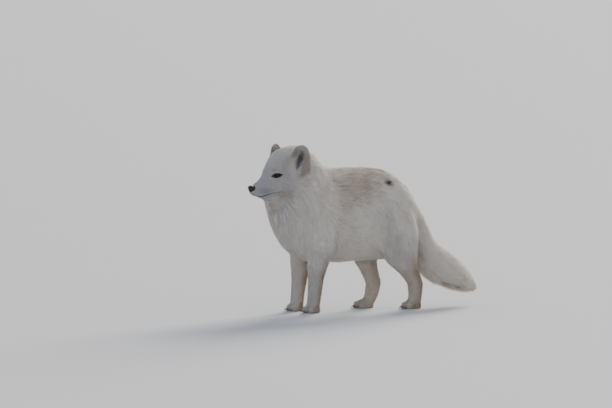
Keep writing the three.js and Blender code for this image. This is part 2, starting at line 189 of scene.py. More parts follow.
class FoxColours(bpy.types.PropertyGroup):
    pale: colour("Pale coat", "Off-white of most of the coat", (0.86, 0.82, 0.755))
    # The cool grey is also painted shade: in the folds of the flanks and thighs, in the furrows of the ruff,
    # and partly on the legs.
    cool: colour("Cool coat", "Grey of the face, the front of the legs and the folds", (0.50, 0.52, 0.56))
    dusky: colour("Dusky coat", "Brown-grey wash on the back", (0.45, 0.335, 0.245))
    tan: colour("Tan coat", "Tan behind the legs and on the ears", (0.46, 0.295, 0.13))
    stain: colour("Stain", "Yellowish stains on the throat", (0.57, 0.46, 0.18))
    # The dark colour is also painted shadow inside the ear openings, in the clefts between the toes and in
    # the flank folds.
    dark: colour("Dark coat", "Brown-black of the small dark marks", (0.05, 0.036, 0.028))
    leather: colour("Leather", "Nose, lips and eye rims", (0.012, 0.011, 0.011))
    iris: colour("Iris", "Iris of the eyes", (0.018, 0.0095, 0.0055))
    claw: colour("Claw", "Claws", (0.05, 0.04, 0.035))
    whisker: colour("Whisker", "Dark part of the whiskers", (0.05, 0.04, 0.035))
    floor: colour("Floor", "Plain pale floor", (0.44, 0.45, 0.465))


class FoxStageSizes(bpy.types.PropertyGroup):
    distance: size("Camera distance", "From the aim point to the camera", 10000)
    azimuth: angle("Azimuth", "Camera turn, 0 looks along +Y", -30)
    elevation: angle("Elevation", "Camera height angle", 3)
    view_width: size("View width", "Width that the view takes in at the fox", 1407.6)
    aim: FloatVectorProperty(name="Aim", description="Point that the camera looks at", size=3,
                             default=(-0.1222, 0.0506, 0.2441), subtype="TRANSLATION", unit="LENGTH")
    sky: amount("Sky", "Strength of the soft light from all round", 0.92)
    key: amount("Back light", "Strength of the broad light from behind", 8.0)
    fill: amount("Fill light", "Strength of the broad light in front", 0.7)


GROUPS = {
    "fox_skin": FoxSkinSizes,
    "fox_face": FoxFaceSizes,
    "fox_coat": FoxCoatSizes,
    "fox_colours": FoxColours,
    "fox_stage": FoxStageSizes,
}


# ---------------------------------------------------------------- meshes as arrays
def mesh_of(name, points, faces):
    """A mesh from points and a list of arrays of faces, each array with its own number of corners."""
    mesh = bpy.data.meshes.new(name)
    loops = np.concatenate([np.asarray(f, np.int32).ravel() for f in faces])
    totals = np.concatenate([np.full(len(f), np.shape(f)[1], np.int32) for f in faces])
    starts = np.concatenate([[0], np.cumsum(totals)[:-1]]).astype(np.int32)
    mesh.vertices.add(len(points))
    mesh.vertices.foreach_set("co", np.asarray(points, np.float32).ravel())
    mesh.loops.add(len(loops))
    mesh.loops.foreach_set("vertex_index", loops)
    mesh.polygons.add(len(totals))
    mesh.polygons.foreach_set("loop_start", starts)
    mesh.update(calc_edges=True)
    mesh.shade_smooth()
    return mesh


def show(mesh, *materials):
    thing = bpy.data.objects.new(mesh.name, mesh)
    bpy.context.scene.collection.objects.link(thing)
    for material in materials:
        mesh.materials.append(material)
    return thing


def rows_of(collection, field, width, kind=np.float32):
    """One field of all items of a mesh's collection, a row for each item."""
    flat = np.empty(len(collection) * width, kind)
    collection.foreach_get(field, flat)
    return flat.reshape(-1, width)


def points_of(mesh):
    return rows_of(mesh.vertices, "co", 3).astype(float)


def edges_of(mesh):
    return rows_of(mesh.edges, "vertices", 2, np.int32)


def triangles_of(mesh, field="vertices"):
    """The corners of each triangle of a mesh, as vertex numbers or as loop numbers."""
    mesh.calc_loop_triangles()
    return rows_of(mesh.loop_triangles, field, 3, np.int32)


def corners_of(points, triangles):
    return (points[triangles[:, i]] for i in range(3))


def surface_tree(points, triangles):
    return BVHTree.FromPolygons(points.tolist(), triangles.tolist())


def point_tree(points):
    tree = KDTree(len(points))
    for number, point in enumerate(points.tolist()):
        tree.insert(point, number)
    tree.balance()
    return tree


def normals_at(points, triangles):
    """Vertex normals, weighted by area."""
    a, b, c = corners_of(points, triangles)
    face = np.cross(b - a, c - a)
    total = np.zeros_like(points)
    for i in range(3):
        for axis in range(3):
            total[:, axis] += np.bincount(triangles[:, i], face[:, axis], len(points))
    return unit(total)


def spread(values, edges, times, share=0.5, free=None):
    """Each value moves towards the mean of its neighbours', a number of times."""
    values = np.array(values, float)
    flat = values.ndim == 1
    values = values.reshape(len(values), -1)
    a, b = edges.T
    number = len(values)
    count = np.maximum(np.bincount(a, minlength=number) + np.bincount(b, minlength=number), 1)
    pull = share if free is None else share * free[:, None]
    for _ in range(times):
        mean = np.empty_like(values)
        for axis, column in enumerate(values.T):
            mean[:, axis] = (np.bincount(a, column[b], number) + np.bincount(b, column[a], number)) / count
        values = values + pull * (mean - values)
    return values[:, 0] if flat else values


STEP_IN, STEP_OUT = 0.55, -0.57  # shares of the way to the neighbours' mean


def smooth_shape(points, edges, times, free):
    """Smoothing that doesn't shrink: each step in is followed by a step out."""
    for _ in range(times):
        points = spread(points, edges, 1, STEP_IN, free)
        points = spread(points, edges, 1, STEP_OUT, free)
    return points


def ramp(value, low, high):
    """0 below low, 1 above high, and smooth between."""
    t = np.clip((value - low) / (high - low), 0, 1)
    return t * t * (3 - 2 * t)


def hill(value, centre, width):
    """1 at a centre, falling to 0 on both sides of it."""
    return np.exp(-((value - centre) / width) ** 2)


def under(points, low, high):
    """1 under one height, 0 above another."""
    return ramp(-points[:, 2], -high, -low)


def near(points, centre, radii):
    """1 at a centre, falling to 0 at an ellipsoid round it."""
    reach = np.linalg.norm((points - centre) / radii, axis=1)
    return 1 - ramp(reach, 0.25, 1.0)


def ripples(points, wavelength, seed, count=7):
    """Smooth noise from -1 to 1: a few waves in random directions."""
    rng = np.random.default_rng(seed)
    ways = unit(rng.normal(size=(count, 3)))
    lengths = wavelength * rng.uniform(0.7, 1.5, count)
    phases = rng.uniform(0, 2 * math.pi, count)
    waves = np.sin(points @ (ways / lengths[:, None]).T * 2 * math.pi + phases)
    return waves.sum(1) / math.sqrt(count) / 1.2


def store(mesh, name, values):
    layer = mesh.attributes.get(name) or mesh.attributes.new(name, "FLOAT", "POINT")
    layer.data.foreach_set("value", np.asarray(values, np.float32))


def stored(mesh, name):
    return rows_of(mesh.attributes[name].data, "value", 1)[:, 0].astype(float)


# ---------------------------------------------------------------- the outer shape
def joined_flesh():
    """All solids as one soup of triangles, with the node that each triangle comes from."""
    points, faces, owners, start = [], [], [], 0
    names = list(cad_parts)
    for number, name in enumerate(names):
        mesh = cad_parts[name].data
        triangles = triangles_of(mesh)
        points.append(points_of(mesh))
        faces.append(triangles + start)
        owners.append(np.full(len(triangles), number))
        start += len(mesh.vertices)
    return np.concatenate(points), np.concatenate(faces), np.concatenate(owners), names


def remeshed(points, faces, voxel):
    source = show(mesh_of("joined", points, [faces]))
    change = source.modifiers.new("join", "REMESH")
    change.mode = "VOXEL"
    change.voxel_size = voxel
    change.adaptivity = 0
    bpy.context.view_layer.update()
    made = bpy.data.meshes.new_from_object(source.evaluated_get(bpy.context.evaluated_depsgraph_get()))
    bpy.data.objects.remove(source)
    return made


def refine(mesh, wanted):
    """Each face whose corners are all wanted is cut into four."""
    work = bmesh.new()
    work.from_mesh(mesh)
    work.verts.ensure_lookup_table()
    chosen = [e for e in work.edges if wanted[e.verts[0].index] and wanted[e.verts[1].index]]
    bmesh.ops.subdivide_edges(work, edges=chosen, cuts=1, use_grid_fill=True)
    work.to_mesh(mesh)
    work.free()


def nearest_nodes(points, soup, faces, owners):
    tree = surface_tree(soup, faces)
    return np.array([owners[tree.find_nearest(Vector(p))[2]] for p in points])


# ---------------------------------------------------------------- coat depth and lie
COAT_OF = (  # which depth of coat each solid takes
    ("trunk", "trunk"), ("neck", "neck"), ("shoulder", "upper_leg"), ("thigh", "upper_leg"),
    ("forearm", "lower_leg"), ("shank", "lower_leg"), ("metatarsus", "lower_leg"),
    ("front_paw", "paw"), ("hind_paw", "paw"), ("tail", "tail"), ("ear", "ear"),
    ("head", "crown"), ("lower_jaw", "face"), ("eye", "face"), ("nose", "face"),
)
SKULL = ("head", "lower_jaw", "eye", "nose")
UPPER_LEGS = ("shoulder", "thigh")
SHINS = ("forearm", "shank", "metatarsus")
FEET = ("front_paw", "hind_paw")


def kinds_of(labels, names):
    """The place in COAT_OF of each vertex's solid."""
    table = [next(i for i, (start, _) in enumerate(COAT_OF) if name.startswith(start)) for name in names]
    return np.array(table)[labels]


def is_kind(kinds, *starts):
    return np.isin(kinds, [i for i, (start, _) in enumerate(COAT_OF) if start in starts])


def coat_depth(points, kinds, sizes):
    depth = np.array([getattr(sizes, COAT_OF[k][1]) for k in kinds])
    ahead, side, up = in_head(points).T
    front = ramp(ahead, -26 * MM, 12 * MM)
    cheek = ramp(-up, 18 * MM, 42 * MM) * ramp(np.abs(side), 22 * MM, 46 * MM)
    behind = ramp(-ahead, 45 * MM, 80 * MM)
    skull = sizes.crown * (1 - front) + sizes.face * front + sizes.crown * (cheek + behind) * (1 - front)
    return np.where(is_kind(kinds, *SKULL), skull, depth)


def lie_of(points, kinds):
    """Which way the coat lies at each vertex, before it is smoothed."""
    way = np.zeros_like(points)

    def comb(ways, *starts):
        chosen = is_kind(kinds, *starts)
        way[chosen] = np.broadcast_to(ways, points.shape)[chosen]

    ahead, _, up = in_head(points).T
    behind_brow = ramp(-ahead, 0, 50 * MM)[:, None]
    from_nose = unit(points - (NOSE_MIDDLE - AHEAD * 6 * MM))
    low = ramp(-up, 15 * MM, 45 * MM)[:, None]
    comb(from_nose + 0.5 * behind_brow * BACK + (0.3 + 0.35 * behind_brow) * low * DOWN, *SKULL)

    breast, nape = corners("neck")[0][2], corners("neck")[1][2]
    height = ramp(points[:, 2], breast + 60 * MM, nape - 20 * MM)[:, None]
    comb((0.35 + 0.6 * height) * BACK + (1 - 0.62 * height) * DOWN, "neck")

    belly, ridge = corners("trunk")[0][2], corners("trunk")[1][2]
    flank = 1 - ramp(points[:, 2], belly, ridge)[:, None]
    rump = ramp(points[:, 0], 40 * MM, 120 * MM)[:, None]
    comb(BACK + (0.22 + 0.4 * flank + 0.5 * rump) * DOWN, "trunk")

    bend = ramp(points[:, 0], corners("tail_root")[0][0], corners("tail_root")[1][0])[:, None]
    comb(unit((1 - bend) * slope("tail_root") + bend * slope("tail_brush")), "tail")
    comb(unit(0.55 * BACK + DOWN), *UPPER_LEGS)
    comb(unit(0.12 * BACK + DOWN), *SHINS)
    comb(unit(-BACK + 0.7 * DOWN), *FEET)
    comb(unit(UP + 0.25 * BACK), "ear")
    return unit(way)


def tangent(ways, normals):
    return unit(ways - normals * (ways * normals).sum(1, keepdims=True))


def turned(ways, normals, angles):
    """Ways that lie in a surface, turned about its normals."""
    across = np.cross(normals, ways)
    return ways * np.cos(angles)[:, None] + across * np.sin(angles)[:, None]


# ---------------------------------------------------------------- markings and painted shade
MARKS_AND_SHADE = {  # soft patches of each finish: middle and radii in mm, and strength
    "dusky": (
        ((-40, -66, 286), (84, 66, 56), 0.76),
        ((-40, 62, 290), (80, 66, 54), 0.62),
        ((-80, -68, 250), (36, 34, 50), 0.5),
        ((-74, 66, 256), (36, 34, 50), 0.4),
        ((5, -15, 318), (110, 84, 34), 0.64),
        ((-101, -68, 190), (15, 18, 42), 0.3),
        ((-97, 68, 190), (15, 18, 42), 0.25),
        ((-219, -44, 350), (12, 14, 20), 0.45),
        ((-219, 38, 350), (12, 14, 20), 0.35),
        ((-250, -24, 330), (7, 8, 4.5), 0.9),
        ((-252, 18, 330), (7, 8, 4.5), 0.9),
    ),
    "tan": (
        ((-196, -62, 315), (15, 16, 13), 0.6),
        ((-186, -68, 298), (14, 14, 26), 0.4),
        ((-196, 58, 315), (15, 16, 13), 0.5),
        ((147, 0, 112), (30, 34, 26), 0.18),
        ((240, 0, 46), (50, 30, 14), 0.3),
    ),
    "stain": (
        ((-249, -14, 246), (13, 17, 12), 0.65),
        ((-244, -6, 225), (12, 17, 12), 0.95),
        ((-236, -46, 275), (12, 14, 19), 0.5),
        ((-222, -58, 268), (12, 12, 12), 0.35),
        ((-246, 24, 236), (12, 16, 20), 0.3),
    ),
    "dark": (
        ((42, -54, 293), (15, 20, 12), 1.0),
        # painted shade in the fold between the flank and the thigh, and in front of the thigh
        ((30, -76, 200), (15, 24, 54), 0.07),
        ((42, -68, 146), (36, 26, 44), 0.1),
        ((-204, -50, 197), (5, 12, 15), 0.11),
        ((-191, -46, 170), (5, 12, 14), 0.11),
        ((138, -27, 134), (9, 12, 16), 0.16),
        ((152, -28, 112), (9, 12, 17), 0.2),
        ((222, -18, 52), (13, 12, 6), 0.75),
        ((254, -16, 43), (11, 12, 6), 0.85),
    ),
    "cool": (
        # painted shade in the folds of the flanks and in front of the thighs
        ((24, -76, 196), (24, 24, 66), 0.5),
        ((24, 76, 196), (24, 24, 66), 0.5),
        ((50, -68, 150), (50, 26, 44), 0.4),
        ((20, 68, 150), (46, 26, 38), 0.5),
        # painted shade in the furrows of the ruff and neck
        ((-205, -64, 262), (15, 16, 34), 0.5),
        ((-188, -68, 226), (15, 16, 30), 0.5),
        ((-172, -68, 196), (13, 16, 26), 0.5),
        ((-212, -46, 205), (12, 16, 26), 0.45),
        ((-205, 64, 255), (15, 16, 34), 0.45),
        ((-180, 68, 210), (15, 16, 30), 0.45),
    ),
}
FINISHES = tuple(MARKS_AND_SHADE)
SOFTENED = {"cool": 40, "dusky": 12, "tan": 12}  # rounds of smoothing of a finish
# Cool and dusky on the legs are partly their grey coat and partly painted shade; the insides take less, as
# the shade between the legs already darkens them.
LEG_TINTS = {  # share inside a hind leg and what its outside adds, then the same two for a front leg
    "cool": (0, 0.15, 0.22, 0.28),
    "dusky": (0.03, 0.27, 0.1, 0.08),
}
NOSE_RIM = np.array([15, 15, 12]) * MM


def patch_marks(points, broken):
    """The patches of the table, the dark ones whole and the others broken up."""
    for finish, rows in MARKS_AND_SHADE.items():
        for centre, radii, strength in rows:
            patch = near(points, np.array(centre) * MM, np.array(radii) * MM)
            patch = ramp(patch, 0.1, 0.75) if finish == "dark" else patch * broken
            yield finish, patch * strength


def leg_marks(points, normals, kinds, broken):
    """Tan behind the lower legs, cool and dusky tints on their outsides, partly painted shade, dark toe
    tips, and painted shade in the clefts between the toes.
    """
    backwards = normals @ BACK
    rear = ramp(backwards, -0.5, 0.6)
    outer = ramp(np.sign(points[:, 1]) * normals[:, 1], -0.5, 0.3)
    hind = is_kind(kinds, "thigh", "shank", "metatarsus", "hind_paw")
    low = is_kind(kinds, *UPPER_LEGS, *SHINS, *FEET) * under(points, 75 * MM, 145 * MM)
    inner_hind = 0.3 + 0.4 * rear
    outer_hind = 0.12 + 0.88 * ramp(rear, 0.2, 0.85)
    tan = np.where(hind, inner_hind + (outer_hind - inner_hind) * outer, 0.9 * ramp(rear, 0.25, 0.85))
    yield "tan", low * tan * broken
    yield "dark", low * hind * outer * rear * 0.12
    for finish, (hind_in, hind_out, front_in, front_out) in LEG_TINTS.items():
        yield finish, low * np.where(hind, hind_in + hind_out * outer, front_in + front_out * outer)
    yield "cool", is_kind(kinds, *UPPER_LEGS) * 0.45 * under(points, 105 * MM, 150 * MM)
    toes = is_kind(kinds, *FEET) * under(points, 1 * MM, 9 * MM) * ramp(-backwards, 0.1, 0.9)
    # the toe tips are dark, and the clefts between the toes get painted shade
    yield "dark", np.maximum(0.5 * toes, 0.35 * toe_clefts(points))


def ear_marks(points, normals, kinds, inside_ear, broken):
    """Tan along the outer edges of the ears, and painted shadow along the inner edges and inside the
    openings.
    """
    outer_edge, inner_edge = np.zeros(len(points)), np.zeros(len(points))
    for name in SIDES:
        inwards = in_ear(points, name)[1]
        close = near(points, EARS[name], EAR_REACH) ** 0.25
        outer_edge = np.maximum(outer_edge, close * ramp(-inwards, 8 * MM, 17 * MM))
        inner_edge = np.maximum(inner_edge, close * ramp(inwards, 5 * MM, 13 * MM))
    ear = is_kind(kinds, "ear")
    yield "tan", ear * broken * np.maximum(outer_edge * 0.6, ramp(normals @ BACK, 0, 0.9) * 0.15)
    yield "cool", ear * 0.45
    yield "dusky", ear * 0.3
    # painted shadow: dark inside the ear openings and along their inner edges, over a faint dark on the
    # whole ear
    yield "dark", np.maximum(0.85 * inside_ear, ear * (0.12 + 0.31 * inner_edge))


def body_marks(points, normals, kinds, broken):
    """A cool face and breast, a dusky rim round the nose and a little tan under the tail."""
    ahead, _, up = in_head(points).T
    skull = is_kind(kinds, *SKULL) * ramp(up, -66 * MM, -46 * MM)
    face = 0.45 * ramp(ahead, -70 * MM, -20 * MM) * (1 - 0.7 * ramp(up, 45 * MM, 65 * MM))
    yield "cool", skull * (face + 0.35 * ramp(ahead, 0, 30 * MM))
    yield "dusky", 0.35 * near(points, NOSE_MIDDLE, NOSE_RIM)
    yield "cool", is_kind(kinds, "neck") * ramp(-(normals @ BACK), -0.1, 0.8) * 0.25
    yield "tan", is_kind(kinds, "tail") * ramp(-normals[:, 2], 0.1, 0.95) * 0.06 * broken


def markings(points, normals, kinds, inside_ear, edges):
    """How much of each finish every vertex takes, from 0 to 1."""
    made = {finish: np.zeros(len(points)) for finish in FINISHES}
    broken = 0.75 + 0.25 * ripples(points, 22 * MM, 3)
    sources = (
        patch_marks(points, broken),
        leg_marks(points, normals, kinds, broken),
        ear_marks(points, normals, kinds, inside_ear, broken),
        body_marks(points, normals, kinds, broken),
    )
    for source in sources:
        for finish, values in source:
            made[finish] = np.maximum(made[finish], values)
    for finish, times in SOFTENED.items():
        made[finish] = spread(made[finish], edges, times)
    return {finish: np.clip(values, 0, 1) for finish, values in made.items()}


# ---------------------------------------------------------------- face
OPENING_CURVE, RIM_CURVE = 0.8, 1.7  # how full the almond of the opening and its dark rim are
LID_REACH = 26 * MM  # from the middle of the eye
LID_SUNK = 1.6 * MM  # how deep the skin lies in the eyeball, inside the opening
LID_EDGE = 0.5 * MM  # half the width of its step out to the lid
LID_HOLD = (2.5 * MM, 9 * MM)  # how far outside the opening the lid leaves the eyeball
LID_RIDGES = (  # how far outside the opening, width and height
    (3.4 * MM, 0.9 * MM, -0.5 * MM),  # fold
    (8 * MM, 3.5 * MM, 1.1 * MM),  # brow
)
MOUTH = np.array([  # how far ahead and up, from the middle of the front to a corner
    (60, -37), (53.5, -41.2), (44, -45), (34, -45.6), (25, -43.4), (12.5, -39.6), (3, -36.6), (-6, -33.8),
]) * MM
FAR = 70 * MM  # out to the side of the brow, outside the whole head


class EyeFrame:
    """One eye's own axes: along the slit towards the nose, up across it, and out of the head."""

    def __init__(self, name, sizes):
        self.centre = EYES[name]
        self.out, level = facing(name, sizes.eye_outward)
        along = unit(math.cos(sizes.eye_slant) * level - math.sin(sizes.eye_slant) * UP)
        up = np.cross(along, self.out)
        self.axes = np.array([along, up * np.sign(up[2]), self.out])
        self.half_length, self.half_height = sizes.lid_length, sizes.lid_height

    def local(self, points):
        return (points - self.centre) @ self.axes.T

    def world(self, along, up, out):
        return self.centre + np.stack(np.broadcast_arrays(along, up, out), -1) @ self.axes

    def dark_edge(self, along, sizes):
        """Half height of the dark patch round the opening, drawn out to a point in front and behind."""
        share = np.clip(1 - np.abs(along / (self.half_length + sizes.corner)) ** RIM_CURVE, 0, 1)
        return (self.half_height + sizes.rim) * share

    def outside(self, points):
        """How far points lie outside the almond opening, seen along the eye's axis. Negative inside."""
        along, up, _ = self.local(points).T
        share = np.clip(1 - (along / self.half_length) ** 2, 0, 1)
        past = np.abs(along) - self.half_length
        return np.where(past > 0, np.hypot(past, up), np.abs(up) - self.half_height * share ** OPENING_CURVE)


def set_lids(points, sizes):
    """Pulls the skin round each eye onto its eyeball, with a fold and a brow above."""
    for name in SIDES:
        eye = EyeFrame(name, sizes)
        _, up, out = eye.local(points).T
        reach = np.linalg.norm(points - eye.centre, axis=1)
        outside = eye.outside(points)
        close = (reach < LID_REACH) & (out > -2 * MM)
        inside, lid = EYE_RADIUS - LID_SUNK, EYE_RADIUS + sizes.lid_thickness
        target = inside + (lid - inside) * ramp(outside, -LID_EDGE, LID_EDGE)
        grow = (1 - ramp(outside, *LID_HOLD)) * close * (target - reach)
        for place, width, height in LID_RIDGES:
            grow = grow + height * hill(outside, place, width) * (up > 0) * close
        points = points + (points - eye.centre) * (grow / np.maximum(reach, 1e-6))[:, None]
    return points


def from_side(tree, ahead, side, up):
    """Where a ray from far out on one side meets that side of the head, or None."""
    hit = tree.ray_cast(Vector(from_head(ahead, side * FAR, up)), Vector(-side * LEFT), 2 * FAR)[0]
    if hit is None or (np.array(hit) - BROW) @ LEFT * side <= 0:
        return None
    return np.array(hit)


def mouth_line(tree):
    """Points on the skin from the left corner of the mouth round the front to the right corner."""
    steps = np.linspace(0, 1, 8)[:-1, None]
    dense = np.concatenate([a + (b - a) * steps for a, b in zip(MOUTH, MOUTH[1:])] + [MOUTH[-1:]])
    left, right = ([from_side(tree, ahead, side, up) for ahead, up in dense] for side in (1, -1))
    front = tree.ray_cast(Vector(from_head(2 * FAR, 0, MOUTH[0][1])), Vector(-AHEAD), 3 * FAR)[0]
    line = np.array([place for place in (*left[::-1], np.array(front), *right) if place is not None])
    for _ in range(3):
        line[1:-1] = (line[:-2] + 2 * line[1:-1] + line[2:]) / 4
    return line


def distance_to(points, line, reach):
    """Distance from each point to the nearest point of a line, where that is under a reach."""
    tree = point_tree(line)
    low, high = line.min(0) - reach, line.max(0) + reach
    made = np.full(len(points), reach)
    for i in np.flatnonzero(((points > low) & (points < high)).all(1)):
        made[i] = min(reach, tree.find(Vector(points[i]))[2])
    return made


def dense_line(line, step):
    lengths = np.linalg.norm(np.diff(line, axis=0), axis=1)
    along = np.concatenate([[0], np.cumsum(lengths)])
    wanted = np.linspace(0, along[-1], max(int(along[-1] / step), 2))
    return np.stack([np.interp(wanted, along, line[:, i]) for i in range(3)], 1)


# ---------------------------------------------------------------- paws
PAWS = [f"{end}_paw_{name}" for end in ("front", "hind") for name in SIDES]
PAW_TOES = ((-0.66, 7), (-0.24, 0), (0.24, 0), (0.66, 7))  # out from the middle in half widths, back in mm
TOE_CLEFTS = (-0.45, 0.0, 0.45)  # out from the middle in half widths
CLEFT = {"length": 24 * MM, "depth": 2.4 * MM, "width": 1.5 * MM}


def across_paw(node, out):
    """The place across a paw that is so many half widths out from its middle."""
    low, high = corners(node)
    return (low[1] + high[1]) / 2 + out * (high[1] - low[1]) / 2


def toe_clefts(points):
    """1 in the middle of the clefts between the toes, falling to 0 beside and behind them."""
    made = np.zeros(len(points))
    for node in PAWS:
        low, high = corners(node)
        mine = ((points > low - 3 * MM) & (points < high + 3 * MM)).all(1)
        ahead = ramp(low[0] - points[:, 0], -CLEFT["length"], -CLEFT["length"] / 3)
        for out in TOE_CLEFTS:
            made = np.maximum(made, mine * ahead * hill(points[:, 1], across_paw(node, out), CLEFT["width"]))
    return made


# ---------------------------------------------------------------- skin
SKIN, SHELL = "skin", "coat_shell"
FINE_FACE = {"ahead": (-22 * MM, 90 * MM), "side": 60 * MM, "up": -80 * MM}  # the box that is refined once
BY_EYE = 20 * MM  # refined again this close to an eye
FREEDOM = {"small": 0.2, "skull": 0.7, "rest": 1.0}  # how far smoothing may move each part
SHAPE_ROUNDS, DEPTH_ROUNDS, LIE_ROUNDS = 26, 110, 30  # of smoothing
INSET_STEPS = 6
MOUTH_RIDGES = (  # distance from the line of the mouth, width and depth
    (0, 1.1 * MM, 1.5 * MM),  # groove
    (2.6 * MM, 1.2 * MM, -0.35 * MM),  # the swell beside it
)
EAR_SLIT = {"inwards": 4 * MM, "rise": 1 * MM, "half_width": 9.5 * MM, "half_height": 25 * MM, "lean": 0.3,
            "reach": 34 * MM}
NOSE_PAD = np.array([12, 12, 11.5]) * MM


def on_floor(points):
    return np.maximum(points, [-np.inf, -np.inf, 0])


def build_shell(voxel):
    """The outer shape of the coat, finer on the face and the toes, and each vertex's place in COAT_OF."""
    soup, soup_faces, owners, names = joined_flesh()
    shell = remeshed(soup, soup_faces, voxel)
    ahead, side, up = in_head(points_of(shell)).T
    nearest, furthest = FINE_FACE["ahead"]
    across = np.abs(side) < FINE_FACE["side"]
    refine(shell, (ahead > nearest) & (ahead < furthest) & across & (up > FINE_FACE["up"]))
    refine(shell, spread(toe_clefts(points_of(shell)) > 0.02, edges_of(shell), 2) > 0)
    points = points_of(shell)
    ahead, _, up = in_head(points).T
    by_eye = np.minimum(*[np.linalg.norm(points - EYES[name], axis=1) for name in SIDES]) < BY_EYE
    muzzle = (ahead > 22 * MM) & (up < -15 * MM)
    refine(shell, by_eye | muzzle)
    return shell, kinds_of(nearest_nodes(points_of(shell), soup, soup_faces, owners), names)


def smoothed(points, edges, triangles, kinds):
    """The outer shape without the steps of its cells, with clefts between the toes."""
    small, skull = is_kind(kinds, *FEET, "ear", "nose", "eye"), is_kind(kinds, "head", "lower_jaw")
    free = np.where(small, FREEDOM["small"], np.where(skull, FREEDOM["skull"], FREEDOM["rest"]))
    free = spread(free, edges, 12)
    points = smooth_shape(spread(points, edges, 3, 0.5, free), edges, SHAPE_ROUNDS, free)
    return on_floor(points - normals_at(points, triangles) * (CLEFT["depth"] * toe_clefts(points))[:, None])


def inset(points, edges, triangles, depth):
    """The outer shape moved in by the coat's depth, in small smoothed steps."""
    for _ in range(INSET_STEPS):
        points = points - normals_at(points, triangles) * (depth / INSET_STEPS)[:, None]
        points = spread(points, edges, 4, 0.5, ramp(depth, 2 * MM, 12 * MM))
    return on_floor(points)


def ear_hollows(points, normals, kinds, edges):
    """1 inside the openings of the ears."""
    made = np.zeros(len(points))
    for name in SIDES:
        opening, inwards, rise = in_ear(points, name)
        close = np.linalg.norm(points - EARS[name], axis=1) < EAR_SLIT["reach"]
        slit = np.hypot((inwards + EAR_SLIT["lean"] * rise - EAR_SLIT["inwards"]) / EAR_SLIT["half_width"],
                        (rise - EAR_SLIT["rise"]) / EAR_SLIT["half_height"])
        faced = ramp(normals @ facing(name, EAR_TURNS[name])[0], -0.1, 0.4)
        hollow = faced * ramp(-np.abs(opening), -10 * MM, -5 * MM)
        mine = is_kind(kinds, "ear", "head") & close
        made = np.maximum(made, mine * (1 - ramp(slit, 0.7, 1.0)) * hollow)
    return spread(made, edges, 2)


def bare_skin(points, gap, face):
    """1 round the eyes, on the lips and on the nose pad, where no hair grows."""
    made = np.zeros(len(points))
    for name in SIDES:
        eye = EyeFrame(name, face)
        along, up, out = eye.local(points).T
        over = np.abs(up + 0.9 * MM * ramp(along, 6 * MM, 16 * MM)) - eye.dark_edge(along, face)
        patch = (1 - ramp(over, -0.2 * MM, 0.5 * MM)) * (np.abs(along) < face.lid_length + face.corner)
        opening = 1 - ramp(eye.outside(points), 0.9 * MM, 1.5 * MM)
        made = np.maximum(made, np.maximum(patch, opening) * (out > 0))
    front = ramp(in_head(points)[:, 0], 16 * MM, 38 * MM)
    lip = 1 - ramp(gap, face.lip * (0.3 + 0.8 * front), face.lip * (0.6 + 1.0 * front))
    pad = near(points, NOSE_MIDDLE, NOSE_PAD) > 0.3
    return np.maximum(made, np.maximum(lip, pad))


def settled_lie(points, normals, kinds, edges):
    """The lie of the coat along its surface, smoothed, with slow waves in it."""
    lie = lie_of(points, kinds)
    for _ in range(LIE_ROUNDS):
        lie = tangent(spread(lie, edges, 2), normals)
    return turned(lie, normals, 0.22 * ripples(points, 60 * MM, 11) + 0.1 * ripples(points, 25 * MM, 12))


def build_skin():
    sizes, face = bpy.context.scene.fox_skin, bpy.context.scene.fox_face
    shell, kinds = build_shell(sizes.voxel)
    edges, triangles = edges_of(shell), triangles_of(shell)
    outer = smoothed(points_of(shell), edges, triangles, kinds)
    depth = spread(coat_depth(outer, kinds, sizes), edges, DEPTH_ROUNDS)
    depth *= ramp(outer[:, 2], -1 * MM, 6 * MM) * 0.95 + 0.05  # the soles have next to no coat
    under_coat = inset(outer, edges, triangles, depth)
    lidded = set_lids(under_coat, face)
    line = mouth_line(surface_tree(lidded, triangles))
    gap = distance_to(lidded, dense_line(line, 0.4 * MM), 5 * MM)
    groove = sum(deep * hill(gap, place, width) for place, width, deep in MOUTH_RIDGES)
    points = lidded - normals_at(lidded, triangles) * groove[:, None]
    outer += points - under_coat

    skin = shell.copy()
    skin.name, shell.name = SKIN, SHELL
    for mesh, places in ((shell, outer), (skin, points)):
        mesh.vertices.foreach_set("co", places.astype(np.float32).ravel())
        mesh.shade_smooth()
        mesh.update()

    normals = normals_at(outer, triangles)
    inside_ear = ear_hollows(points, normals, kinds, edges)
    bare = bare_skin(points, gap, face)
    soles = (points[:, 2] < 1.5 * MM) | ((normals[:, 2] < -0.75) & (points[:, 2] < 6 * MM))
    kept = {
        **fur_fields(outer, kinds, edges, inside_ear, face),
        **markings(outer, normals, kinds, inside_ear, edges),
        "bare": bare,
        "furred": np.clip(1 - bare * 1.5, 0, 1) * (1 - soles) * (1 - 0.8 * inside_ear),
        "kind": kinds,
        **dict(zip(("lie_x", "lie_y", "lie_z"), settled_lie(outer, normals, kinds, edges).T)),
    }
    for name, values in kept.items():
        store(skin, name, values)
    return skin


